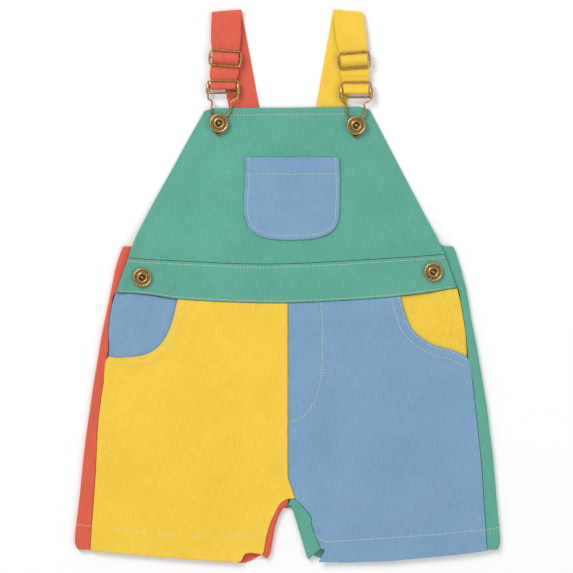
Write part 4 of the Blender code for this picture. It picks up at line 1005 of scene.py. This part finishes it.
def bib_top_level(x, y):
    """The height of the bib's top: over the waist, down onto the straps, drooping at its sides."""
    fall = smoothstep((y - BIB_FALL_FROM) / BIB_FALL_RUN)
    level = WAISTBAND_TOP - BAND + PANEL + BIB_STEP
    level = level + (BIB_LOW_TOP - WAISTBAND_TOP + BAND - PANEL - BIB_STEP) * fall
    side = np.where(x > 0, bib_side(y, BIB_LEFT_SIDE), -bib_side(y, BIB_RIGHT_SIDE))
    inset = side - np.abs(x)
    droop = (1.0 - smoothstep(inset / BIB_DROOP_WIDTH)) * smoothstep((y - BIB_DROOP_FROM_Y) / BIB_DROOP_RUN)
    droop_across = smoothstep((np.abs(x) - BIB_DROOP_FROM_X) / BIB_DROOP_X_RUN)
    level = level + (BIB_EDGE_TOP - BIB_LOW_TOP) * droop * droop_across
    ripple = BIB_RIPPLE.height * np.sin(x / BIB_RIPPLE.x_run + y / BIB_RIPPLE.y_run)
    ripple = ripple * smoothstep(inset / BIB_RIPPLE_INSET)
    ripple = ripple * smoothstep((y - BIB_RIPPLE_LOW) / BIB_RIPPLE_LOW_RUN)
    ripple = ripple * smoothstep((BIB_RIPPLE_HIGH - y) / BIB_RIPPLE_HIGH_RUN)
    return level + np.maximum(ripple, 0.0) + lift_over_fold(x, y)


BIB_HEM_LINE = [(-64.6, 136.6), (0.0, 137.3), (63.6, 137.8)]
SIDE_HEM = 7.0


def bib_shape(x, y):
    """The top of the bib's cloth, with its hems, creases and puckers."""
    top = bib_top_level(x, y) + creased(x, y, BIB_CREASES)
    top = top + seam_pull(x, y, BIB_HEM_LINE, 71, pucker=0.1, spread=6.0)
    top = top + 0.25 * smoothstep((y - height_on(BIB_HEM_LINE, x) + 0.8) / 1.4)
    for table, turn, seed in ((BIB_RIGHT_SIDE, -1.0, 72), (BIB_LEFT_SIDE, 1.0, 73)):
        line = offset_line(smooth_line(table, 60), turn * SIDE_HEM)
        reach, _ = line_distance(x, y, smooth_line(table, 60))
        top = top + 0.25 * (1.0 - smoothstep((reach - SIDE_HEM) / 1.2))
        top = top + seam_pull(x, y, line, seed, depth=0.18, pucker=0.09, spread=5.0, groove=0.9)
    top = top + seam_pull(x, y, [(s.top_x, s.top_y) for s in WAIST], 74, depth=0.0, pucker=0.13, spread=6.0)
    return top + button_dimples(x, y, BIB_BUTTONS, 10.0, 0.5)


def bib():
    """The bib, from the waistband's top seam to the buttons."""
    top_seam = smooth_line([(s.top_x, s.top_y + GAP) for s in WAIST], 17)
    upper = smooth_line(BIB_TOP, 17)
    right_side = smooth_line(BIB_RIGHT_SIDE, 17)
    left_side = smooth_line(BIB_LEFT_SIDE, 17)
    us = rim_shares(190.0, 170)
    vs = rim_shares(120.0, 118)
    grid = coons(top_seam, upper, right_side, left_side, us, vs)
    x, y = grid[..., 0], grid[..., 1]
    return flat_shell("bib_panel", grid, bib_shape(x, y), PANEL, CLOTHS["green"])


def bib_pocket():
    """The patch pocket, laid on the bib and made from the bib's surface."""
    table = np.array(BIB_POCKET)
    vs = rim_shares(66.0, 62)
    us = rim_shares(72.0, 66)
    rows = spline(table, vs)
    share = us[None, :, None]
    right = rows[:, None, 0:2]
    left = rows[:, None, 2:4]
    grid = right + (left - right) * share
    grid[..., 1] -= rows[:, 4:5] * np.sin(np.pi * us)[None, :]
    x, y = grid[..., 0], grid[..., 1]
    top = bib_top_level(x, y) + creased(x, y, BIB_CREASES) + PANEL + GAP
    top = top + seam_pull(x, y, POCKET_HEM_LINE, 81, pucker=0.06)
    top = top + 0.3 * smoothstep((y - POCKET_HEM_LINE[0][1] + 0.8) / 1.4)
    top = top + seam_pull(x, y, pocket_edge(POCKET_STITCH_INSET), 82, pucker=0.1, spread=5.0)
    reach, _ = line_distance(x, y, pocket_edge(0.0))
    top = top + 0.12 * np.exp(-(reach / 3.0) ** 2)
    return flat_shell("bib_patch_pocket", grid, top, PANEL, CLOTHS["blue"])


POCKET_HEM_LINE = [(-33.7, 89.6), (41.9, 89.6)]
POCKET_STITCH_INSET = 3.0


def pocket_edge(inset):
    """The pocket's sides and bottom, a little way in from the edge."""
    right = [(row.right_x, row.right_y) for row in BIB_POCKET]
    left = [(row.left_x, row.left_y) for row in BIB_POCKET][::-1]
    outline = smooth_line(right + left, 120)
    return offset_line(outline, inset)


# The straps

BackStation = namedtuple("BackStation", "y height")
STRAP_BACK = [BackStation(23.0, 2.2), BackStation(34.5, 2.2), BackStation(39.0, 1.4),
              BackStation(43.0, 0.65), BackStation(62.0, 0.65), BackStation(90.0, 0.65),
              BackStation(120.0, 0.65), BackStation(150.0, 0.65), BackStation(175.0, 0.65),
              BackStation(200.0, 0.65), BackStation(211.0, 0.65)]
FrontStation = namedtuple("FrontStation", "from_slide height width tilt_share")
STRAP_FRONT = [
    FrontStation(28.0, 3.95, 24.0, 0.0),
    FrontStation(18.0, 4.3, 24.0, 0.3),
    FrontStation(11.0, 4.15, 23.2, 0.8),
    FrontStation(8.0, 3.97, 22.2, 1.0),
    FrontStation(6.0, 3.95, 21.4, 1.0),
    FrontStation(4.4, 4.8, 21.2, 1.0),
    FrontStation(2.6, 6.5, 21.2, 1.0),
    FrontStation(1.2, 7.3, 21.2, 1.0),
    FrontStation(0.0, 7.45, 21.2, 1.0),
    FrontStation(-1.2, 7.3, 21.2, 1.0),
    FrontStation(-2.6, 6.5, 21.2, 1.0),
    FrontStation(-4.4, 4.8, 21.2, 1.0),
    FrontStation(-6.0, 3.95, 21.4, 1.0),
    FrontStation(-8.0, 4.0, 22.4, 0.9),
    FrontStation(-11.5, 4.9, 23.0, 0.4),
]
BuckleStation = namedtuple("BuckleStation", "share_to_top_bar height width")
STRAP_AT_BUCKLE = [
    BuckleStation(1.6, 4.3, 22.4),
    BuckleStation(1.25, 3.98, 20.8),
    BuckleStation(1.0, 3.95, 20.2),
    BuckleStation(0.68, 4.6, 20.2),
    BuckleStation(0.33, 5.55, 20.2),
]
BUCKLE_WIDTH = 20.2
STRAP_BAR_LEVEL = 4.0
STRAP_TURN_FROM = 195.0
STRAP_TURN_RUN = 32.0
STRAP_FOLD_BACK = 0.9
BAR_WRAP_RADIUS = BAR_RADIUS + GAP + STRAP_CLOTH / 2
ReturnStation = namedtuple("ReturnStation", "from_slide height width tilt_share")
STRAP_RETURN = [
    ReturnStation(-14.0, 2.25, 21.0, 0.0),
    ReturnStation(-8.0, 2.25, 21.0, 0.5),
    ReturnStation(-4.4, 2.35, 21.0, 1.0),
    ReturnStation(-2.4, 3.1, 21.0, 1.0),
    ReturnStation(-0.6, 3.93, 21.0, 1.0),
    ReturnStation(0.8, 3.97, 21.0, 1.0),
]

STRAP_FINE = 5
STRAP_COLUMNS = 22


def strap_stations(facts, buckle):
    """The strap's middle line: x, y, z, width and tilt, from its back end to its end under the slide."""
    fold_tilt = math.radians(facts.fold_deg)
    turn_radius = STRAP_FOLD_RADIUS - STRAP_CLOTH / 2
    shoulder = facts.shoulder
    slide_tilt = math.radians(facts.slide_deg)
    slide_y = facts.slide[1]
    bar_y = buckle.strap_bar

    def front_x(y):
        return float(height_on([(facts.buckle[1], facts.buckle[0]), (facts.slide[1], facts.slide[0]),
                                (shoulder[1], shoulder[0])], y))

    back_way = unit(facts.back_end[0] - shoulder[0], facts.back_end[1] - shoulder[1])
    back_tilt = math.atan2(-back_way[0], -back_way[1])
    stations = []
    for station in STRAP_BACK:
        share = (station.y - facts.back_end[1]) / (shoulder[1] - facts.back_end[1])
        x = facts.back_end[0] + (shoulder[0] - facts.back_end[0]) * share
        tilt = -back_tilt
        if station.y > STRAP_TURN_FROM:
            tilt += (fold_tilt + back_tilt) * (station.y - STRAP_TURN_FROM) / STRAP_TURN_RUN
        stations.append((x, station.y, station.height, STRAP_WIDTH, tilt))
    arc_steps = 6
    for step in range(arc_steps + 1):
        turn = math.pi * step / arc_steps
        stations.append((shoulder[0], shoulder[1] + turn_radius * math.sin(turn) - STRAP_FOLD_BACK,
                         STRAP_FOLD_RADIUS - turn_radius * math.cos(turn), STRAP_WIDTH, fold_tilt))
    for station in STRAP_FRONT:
        y = slide_y + station.from_slide
        stations.append((front_x(y), y, station.height, station.width, slide_tilt * station.tilt_share))
    for station in STRAP_AT_BUCKLE:
        y = bar_y + station.share_to_top_bar * (buckle.top_bar - bar_y)
        stations.append((front_x(y), y, station.height, station.width, 0.0))
    for step in range(arc_steps + 1):
        turn = math.pi * step / arc_steps
        stations.append((front_x(bar_y), bar_y - BAR_WRAP_RADIUS * math.sin(turn),
                         STRAP_BAR_LEVEL + BAR_WRAP_RADIUS * math.cos(turn), BUCKLE_WIDTH, 0.0))
    for station in STRAP_RETURN:
        y = slide_y + station.from_slide
        stations.append((front_x(y), y, station.height, station.width, slide_tilt * station.tilt_share))
    return stations


def strap(name, facts, buckle, colour, seed):
    """One strap: the back part, the shoulder fold, the weave through the slide and the buckle's loop."""
    stations = refined(strap_stations(facts, buckle), STRAP_FINE)
    steps = np.linalg.norm(np.diff(stations[:, :3], axis=0), axis=1)
    keep = np.concatenate([[True], steps > 0.05])
    stations = stations[keep]
    run = np.concatenate([[0.0], np.cumsum(np.linalg.norm(np.diff(stations[:, :3], axis=0), axis=1))])
    ends = np.interp(rim_shares(run[-1], 2), run / run[-1], np.arange(len(run)))
    places = np.sort(np.concatenate([ends, np.arange(1, len(run) - 1)]))
    places = places[np.concatenate([[True], np.diff(places) > 0.02])]
    stations = np.stack([np.interp(places, np.arange(len(run)), stations[:, k]) for k in range(5)], axis=1)
    run = np.interp(places, np.arange(len(run)), run)
    shares = rim_shares(22.0, STRAP_COLUMNS) - 0.5
    way = np.gradient(stations[:, :3], axis=0)
    way[:, 0] = 0.0
    way /= np.linalg.norm(way, axis=1)[:, None]
    normal = np.column_stack([np.zeros(len(way)), -way[:, 2], way[:, 1]])
    reach = stations[:, 3:4] * shares[None, :]
    x = stations[:, 0:1] + np.cos(stations[:, 4:5]) * reach
    y = stations[:, 1:2] + np.sin(stations[:, 4:5]) * reach
    z = np.broadcast_to(stations[:, 2:3], x.shape)
    middle = np.dstack([x, y, z])
    chance = np.random.default_rng(seed)
    phases = chance.uniform(0.0, 2.0 * math.pi, 4)
    crown = 0.12 * (1.0 - (2.0 * shares[None, :]) ** 2)
    bands = (0.09 * np.cos(2.0 * math.pi * shares * 2.5)[None, :]
             + 0.06 * np.sin(run[:, None] / 9.0 + phases[0] + 5.0 * shares[None, :])
             + 0.05 * np.sin(run[:, None] / 4.1 + phases[1] - 7.0 * shares[None, :]))
    shift = crown + bands
    middle = middle + normal[:, None, :] * shift[..., None]
    grain = np.dstack([np.broadcast_to(reach, x.shape), np.broadcast_to(run[:, None], x.shape)])
    half_way = int(np.argmax(stations[:, 1])) // 2
    return shell(name, middle, STRAP_CLOTH, CLOTHS[colour], grain, up=(half_way, STRAP_COLUMNS // 2))


# The hardware

def worn_by_height(points, low, high):
    """How rubbed the metal is, from 0 in the hollows to 1 at the top."""
    return smoothstep((np.asarray(points)[:, 2] - low) / (high - low))


def brass_object(name, parts, node, worn_range):
    """Several closed bodies as one brass piece that stands for a node of the part."""
    points = []
    faces = []
    for part_points, part_faces in parts:
        first = len(points)
        points.extend(tuple(p) for p in part_points)
        faces.extend(tuple(first + i for i in face) for face in part_faces)
    made = mesh_object(name, points, faces, BRASS)
    worn = made.data.attributes.new("worn", "FLOAT", "POINT")
    low, high = worn_range
    worn.data.foreach_set("value", 0.12 + 0.6 * worn_by_height(points, low, high))
    made.data.set_sharp_from_angle(angle=math.radians(50.0))
    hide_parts(node)
    return made


def rod(path, radius, sides=14, closed=False):
    """A round bar or wire along a path, its ends rounded."""
    path = [Vector(p) for p in path]
    radii = [radius] * len(path)
    if not closed:
        forward = (path[1] - path[0]).normalized()
        backward = (path[-2] - path[-1]).normalized()
        caps = ((0.0, 0.35), (0.12, 0.72), (0.4, 0.94))
        head = [path[0] + forward * radius * step for step, _ in caps]
        tail = [path[-1] + backward * radius * step for step, _ in reversed(caps)]
        radii = ([radius * s for _, s in caps] + [radius] * (len(path) - 2)
                 + [radius * s for _, s in reversed(caps)])
        path = head + path[1:-1] + tail
    count = len(path)
    points = []
    faces = []
    for index, here in enumerate(path):
        ahead = path[(index + 1) % count] if closed else path[min(index + 1, count - 1)]
        behind = path[index - 1] if closed else path[max(index - 1, 0)]
        forward = (ahead - behind).normalized()
        across = forward.cross(Vector((0, 0, 1))).normalized()
        up = across.cross(forward)
        for side in range(sides):
            angle = 2 * math.pi * side / sides
            points.append(here + radii[index] * (math.cos(angle) * across + math.sin(angle) * up))
    for index in range(count if closed else count - 1):
        following = (index + 1) % count
        for side in range(sides):
            beside = (side + 1) % sides
            faces.append((index * sides + side, following * sides + side,
                          following * sides + beside, index * sides + beside))
    if not closed:
        faces.append(tuple(range(sides)))
        faces.append(tuple(reversed(range((count - 1) * sides, count * sides))))
    return points, faces


def slide(name, facts, node):
    """A wire slide: a frame with bowed rails and a centre bar whose ends stand out as nubs."""
    middle_x, middle_y = facts.slide
    turn = math.radians(facts.slide_deg)
    half_length = 12.1
    half_height = 6.0
    bow = 0.7
    corner = 1.6
    outline = []
    for start_deg, centre_x, centre_y in ((0, 1, 1), (90, -1, 1), (180, -1, -1), (270, 1, -1)):
        if start_deg in (0, 180):
            outline.append((centre_x * (half_length + bow), 0.0))
        for step in range(7):
            angle = math.radians(start_deg + 15 * step)
            outline.append((centre_x * (half_length - corner) + corner * math.cos(angle),
                            centre_y * (half_height - corner) + corner * math.sin(angle)))

    def placed(x, y, z=HARDWARE_LEVEL):
        return (middle_x + x * math.cos(turn) - y * math.sin(turn),
                middle_y + x * math.sin(turn) + y * math.cos(turn), z)

    shares = np.linspace(0, 1, 4 * len(outline) + 1)
    ring = [placed(x, y) for x, y in spline(outline + outline[:1], shares)[:-1]]
    nub = facts.slide_nub + 0.7
    bar = even([placed(-nub, 0.0), placed(nub, 0.0)], 8)
    parts = [rod(ring, BAR_RADIUS, closed=True), rod(bar, BAR_RADIUS * 0.93)]
    for side in (-1, 1):
        collar = even([placed(side * (half_length + 1.6), 0.0), placed(side * (half_length - 0.6), 0.0)], 4)
        parts.append(rod(collar, BAR_RADIUS * 1.25))
    return brass_object(name, parts, node, (HARDWARE_LEVEL - 0.3, HARDWARE_LEVEL + 0.8))


EAR_RADIUS = 1.6
EAR_BORE = 1.05
BAR_INSET = 1.25
WIRE_BELOW_EAR = 0.8
WIRE_CORNER = 2.0


def tube(x, y1, y2, outer, bore, level, segments=24):
    """A rolled ear: a short tube along Y with softened rims."""
    low, high = min(y1, y2), max(y1, y2)
    soft = 0.25
    rings = [(low, bore), (low, outer - soft), (low + soft, outer),
             (high - soft, outer), (high, outer - soft), (high, bore)]
    points = []
    faces = []
    for y, radius in rings:
        for segment in range(segments):
            angle = 2 * math.pi * segment / segments
            points.append((x + radius * math.cos(angle), y, level + radius * math.sin(angle)))
    for ring in range(len(rings)):
        following = (ring + 1) % len(rings)
        for segment in range(segments):
            beside = (segment + 1) % segments
            faces.append((ring * segments + segment, following * segments + segment,
                          following * segments + beside, ring * segments + beside))
    return points, faces


def buckle_plate(name, facts, node):
    """The buckle's plate: two rolled ears, the bar inside the strap's loop and the lower bar."""
    parts = [tube(x, facts.ear_bottom, facts.ear_top, EAR_RADIUS, EAR_BORE, EAR_LEVEL)
             for x in (facts.ear_right, facts.ear_left)]
    for y, level in ((facts.strap_bar, STRAP_BAR_LEVEL), (facts.lower_bar, EAR_LEVEL)):
        ends = [(facts.ear_right + BAR_INSET, y, level), (facts.ear_left - BAR_INSET, y, level)]
        parts.append(rod(even(ends, 6), BAR_RADIUS))
    return brass_object(name, parts, node, (EAR_LEVEL - 0.6, EAR_LEVEL + EAR_RADIUS))


def buckle_wire(name, facts, keyhole, node):
    """The closed wire: up through the ears to the top bar, down to the keyhole round the button."""
    top = facts.top_bar
    below = facts.ear_bottom - WIRE_BELOW_EAR
    lowest = min(y for _, y in keyhole)
    shoulder = keyhole[0][1]
    path = []
    for x, y in smooth_line(keyhole, 90):
        share = float(smoothstep((shoulder - y) / (0.5 * (shoulder - lowest))))
        path.append((x, y, EAR_LEVEL + (LOOP_LEVEL - EAR_LEVEL) * share))
    left_ear = [(facts.ear_left, below, EAR_LEVEL), (facts.ear_left, facts.ear_top, EAR_LEVEL)]
    path += [tuple(p) for p in even(left_ear, 6)]
    turns = 8
    for step in range(turns + 1):
        angle = math.radians(90 * step / turns)
        rise = float(smoothstep(step / turns))
        path.append((facts.ear_left - WIRE_CORNER + WIRE_CORNER * math.cos(angle),
                     top - WIRE_CORNER + WIRE_CORNER * math.sin(angle),
                     EAR_LEVEL + (HARDWARE_LEVEL - EAR_LEVEL) * rise))
    for step in range(turns + 1):
        angle = math.radians(90 + 90 * step / turns)
        rise = float(smoothstep(step / turns))
        path.append((facts.ear_right + WIRE_CORNER + WIRE_CORNER * math.cos(angle),
                     top - WIRE_CORNER + WIRE_CORNER * math.sin(angle),
                     HARDWARE_LEVEL + (EAR_LEVEL - HARDWARE_LEVEL) * rise))
    right_ear = [(facts.ear_right, facts.ear_top, EAR_LEVEL), (facts.ear_right, below, EAR_LEVEL)]
    path += [tuple(p) for p in even(right_ear, 6)]
    return brass_object(name, [rod(path, WIRE_RADIUS, closed=True)], node,
                        (LOOP_LEVEL - 0.2, EAR_LEVEL + WIRE_RADIUS))


ProfileRow = namedtuple("ProfileRow", "radius height worn")
CAP = [ProfileRow(0.0, 1.3, 0.9), ProfileRow(0.55, 1.22, 0.8), ProfileRow(0.95, 0.95, 0.4),
       ProfileRow(1.25, 0.62, 0.0), ProfileRow(2.35, 0.58, 0.0), ProfileRow(2.6, 0.9, 0.1),
       ProfileRow(2.85, 1.55, 0.6), ProfileRow(3.2, 1.82, 1.0), ProfileRow(3.65, 1.8, 1.0),
       ProfileRow(4.0, 1.5, 0.4), ProfileRow(4.25, 1.36, 0.1), ProfileRow(5.1, 1.32, 0.25),
       ProfileRow(6.0, 1.32, 0.1), ProfileRow(6.35, 1.52, 0.4), ProfileRow(6.65, 1.8, 1.0),
       ProfileRow(7.05, 1.78, 1.0), ProfileRow(7.4, 1.45, 0.7), ProfileRow(7.6, 1.0, 0.4),
       ProfileRow(7.5, 0.4, 0.1), ProfileRow(6.9, 0.02, 0.0)]
SHANK_RADIUS = 2.2
BAND_MARKS = 26


def button(name, centre, cap_base, cloth_top, node):
    """A tack button: rim, ring of small raised marks, inner ring and a recess with a bright middle."""
    segments = 104
    shank = cloth_top + 0.1 - cap_base
    profile = CAP + [ProfileRow(SHANK_RADIUS, 0.0, 0.0), ProfileRow(SHANK_RADIUS, shank, 0.0),
                     ProfileRow(0.0, shank, 0.0)]
    points = []
    worn = []
    for radius, height, rubbed in profile[1:-1]:
        for segment in range(segments):
            angle = 2 * math.pi * segment / segments
            mark = 0.0
            if 4.3 < radius < 6.3:
                mark = max(0.0, math.sin(BAND_MARKS * angle)) ** 0.5 * (1.0 if radius < 5.5 else 0.5)
            points.append((centre[0] + radius * math.cos(angle), centre[1] + radius * math.sin(angle),
                           cap_base + height + 0.28 * mark))
            worn.append(min(rubbed + 0.55 * mark, 1.0))
    rings = len(profile) - 2
    faces = []
    for ring in range(rings - 1):
        for segment in range(segments):
            beside = (segment + 1) % segments
            faces.append((ring * segments + segment, (ring + 1) * segments + segment,
                          (ring + 1) * segments + beside, ring * segments + beside))
    for pole, ring, turned in ((profile[0], 0, False), (profile[-1], rings - 1, True)):
        points.append((centre[0], centre[1], cap_base + pole.height))
        worn.append(pole.worn)
        for segment in range(segments):
            beside = (segment + 1) % segments
            face = (len(points) - 1, ring * segments + segment, ring * segments + beside)
            faces.append(face[::-1] if turned else face)
    made = mesh_object(name, points, faces, BRASS)
    attribute = made.data.attributes.new("worn", "FLOAT", "POINT")
    attribute.data.foreach_set("value", 0.05 + 0.85 * np.array(worn))
    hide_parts(node)
    return made


# The stitches

Thread = namedtuple("Thread", "pitch length width")
TOPSTITCH = Thread(2.6, 1.9, 0.5)


def stitches(name, lines, on, thread, material, seed):
    """Rows of stitches along lines, lying on the named pieces."""
    chance = np.random.default_rng(seed)
    ring = [(math.cos(a), math.sin(a)) for a in np.linspace(0, 2 * math.pi, 7)[:-1]]
    sections = [(-0.5, 0.35), (-0.36, 0.9), (0.0, 1.0), (0.36, 0.9), (0.5, 0.35)]
    points = []
    faces = []
    for line in lines:
        line = np.asarray(line, float)
        length = float(np.linalg.norm(np.diff(line, axis=0), axis=1).sum())
        count = max(int(length / thread.pitch), 1)
        nodes = even(line, count + 1)
        for start, end in zip(nodes, nodes[1:]):
            middle = (start + end) / 2 + chance.normal(0.0, 0.06, 2)
            way = (end - start) / np.linalg.norm(end - start)
            turn = chance.normal(0.0, 0.04)
            way = np.array([way[0] - turn * way[1], way[1] + turn * way[0]])
            side = np.array([-way[1], way[0]])
            stretch = thread.length * chance.uniform(0.9, 1.06)
            heights = [max((h for h in (top_of(piece, *(middle + way * stretch * s)) for piece in on)
                            if h is not None), default=None) for s in (-0.4, 0.0, 0.4)]
            if None in heights:
                continue
            first = len(points)
            for along, swell in sections:
                centre = middle + way * stretch * along
                z = float(np.interp(along, (-0.4, 0.0, 0.4), heights)) + 0.1 - 0.22 * (2 * abs(along)) ** 3
                for c, s in ring:
                    flat = centre + side * c * swell * thread.width / 2
                    points.append((flat[0], flat[1], z + s * swell * thread.width / 2))
            for section in range(len(sections) - 1):
                for k in range(6):
                    faces.append((first + section * 6 + k, first + section * 6 + (k + 1) % 6,
                                  first + (section + 1) * 6 + (k + 1) % 6, first + (section + 1) * 6 + k))
            faces.append(tuple(first + k for k in reversed(range(6))))
            faces.append(tuple(first + (len(sections) - 1) * 6 + k for k in range(6)))
    return mesh_object(name, points, faces, material)


# Every piece, with the part's node that it stands for hidden

def dressed(piece, node):
    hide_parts(node)
    return piece


back_right = dressed(back_leg("back_leg_red", -1, "red"), "back_leg_right")
back_left = dressed(back_leg("back_leg_green", 1, "green"), "back_leg_left")
facing_right = dressed(pocket_facing("facing_blue", -1, "blue"), "pocket_facing_right")
facing_left = dressed(pocket_facing("facing_yellow", 1, "yellow"), "pocket_facing_left")
front_right = dressed(front_leg("front_leg_yellow", -1, "yellow"), "front_leg_right")
front_left = dressed(front_leg("front_leg_blue", 1, "blue"), "front_leg_left")
band = dressed(waistband(), "waistband_front")
bib_panel = dressed(bib(), "bib")
patch = dressed(bib_pocket(), "bib_pocket")
strap_right = dressed(strap("strap_red", STRAP_RIGHT, BUCKLE_RIGHT, "red", 91), "strap_right")
strap_left = dressed(strap("strap_yellow", STRAP_LEFT, BUCKLE_LEFT, "yellow", 92), "strap_left")

for side, facts, buckle, keyhole in (("right", STRAP_RIGHT, BUCKLE_RIGHT, KEYHOLE_RIGHT),
                                     ("left", STRAP_LEFT, BUCKLE_LEFT, KEYHOLE_LEFT)):
    slide("wire_slide_" + side, facts, "slide_" + side)
    buckle_plate("plate_" + side, buckle, "buckle_plate_" + side)
    buckle_wire("wire_" + side, buckle, keyhole, "buckle_wire_" + side)
    x, y = BIB_BUTTONS[side]
    button("tack_bib_" + side, (x, y), LOOP_LEVEL + WIRE_RADIUS + GAP,
           float(bib_top_level(np.array(x), np.array(y))), "button_bib_" + side)
    x, y = SIDE_BUTTONS[side]
    band_top = WAISTBAND_TOP + float(lift_over_fold(np.array(x), np.array(y)))
    button("tack_side_" + side, (x, y), band_top + 0.7, band_top, "button_side_" + side)

band_top_line, band_bottom_line = band_lines()
scoop_right = smooth_line(SCOOP_RIGHT, 60)
scoop_left = smooth_line(SCOOP_LEFT, 60)
threads = [
    stitches("thread_band", [band_top_line, band_bottom_line], ["waistband"], TOPSTITCH, CREAM, 101),
    stitches("thread_bib", [BIB_HEM_LINE], ["bib_panel"], TOPSTITCH, CREAM, 102),
    stitches("thread_pocket", [POCKET_HEM_LINE, pocket_edge(POCKET_STITCH_INSET)], ["bib_patch_pocket"],
             TOPSTITCH, CREAM, 103),
    stitches("thread_fly", [FLY_LINE], ["front_leg_blue"], TOPSTITCH, CREAM, 104),
    stitches("thread_scoops", [offset_line(line, turn * inset)
                               for line, turn in ((scoop_right, 1), (scoop_left, -1))
                               for inset in SCOOP_STITCH_INSETS],
             ["front_leg_yellow", "front_leg_blue"], TOPSTITCH, CREAM, 105),
    stitches("thread_hems", [HEM_LINE_LEFT[2:], HEM_LINE_RIGHT[2:]],
             ["front_leg_yellow", "front_leg_blue", "back_leg_red", "back_leg_green"], TOPSTITCH, CREAM, 106),
]

# The table, the light and the camera
PICTURE_WIDTH = 0.4584
CAMERA_AT = (-0.0008, -0.0004)
LENS = 200.0
SENSOR = 36.0


def floor_material():
    made, tree, shader = started("pale_table")
    place = tree.nodes.new("ShaderNodeTexCoord").outputs["Object"]
    tone = noise(tree, place, 3.0, 2.0)
    shaded(tree, shader, tone, (0.93, 0.93, 0.93), (0.96, 0.96, 0.96))
    shader.inputs["Roughness"].default_value = 0.9
    shader.inputs["Specular IOR Level"].default_value = 0.1
    return made


floor_size = 4.0
floor_mesh = bpy.data.meshes.new("table")
floor_mesh.from_pydata([(-floor_size, -floor_size, 0.0), (floor_size, -floor_size, 0.0),
                        (floor_size, floor_size, 0.0), (-floor_size, floor_size, 0.0)], [], [(0, 1, 2, 3)])
floor_mesh.materials.append(floor_material())
floor = bpy.data.objects.new("table", floor_mesh)
bpy.context.scene.collection.objects.link(floor)


def lamp(name, place, size, power):
    """A soft square lamp that looks at the middle of the garment."""
    light = bpy.data.lights.new(name, "AREA")
    light.shape = "SQUARE"
    light.size = size
    light.energy = power
    made = bpy.data.objects.new(name, light)
    made.location = place
    made.rotation_euler = (-Vector(place)).to_track_quat("-Z", "Y").to_euler()
    bpy.context.scene.collection.objects.link(made)
    return made


lamps = [lamp("key_light", (-1.1, 1.3, 1.5), 0.9, 26.0), lamp("fill_light", (1.3, -0.8, 1.8), 1.6, 12.0)]
world = bpy.data.worlds.new("studio")
world.use_nodes = True
background = world.node_tree.nodes["Background"]
background.inputs["Color"].default_value = (1.0, 1.0, 1.0, 1.0)
background.inputs["Strength"].default_value = 0.62
bpy.context.scene.world = world

camera_data = bpy.data.cameras.new("camera")
camera_data.lens = LENS
camera_data.sensor_width = SENSOR
camera = bpy.data.objects.new("camera", camera_data)
camera.location = (*CAMERA_AT, PICTURE_WIDTH * LENS / SENSOR)
bpy.context.scene.collection.objects.link(camera)
bpy.context.scene.camera = camera
bpy.context.scene.view_settings.view_transform = "Standard"
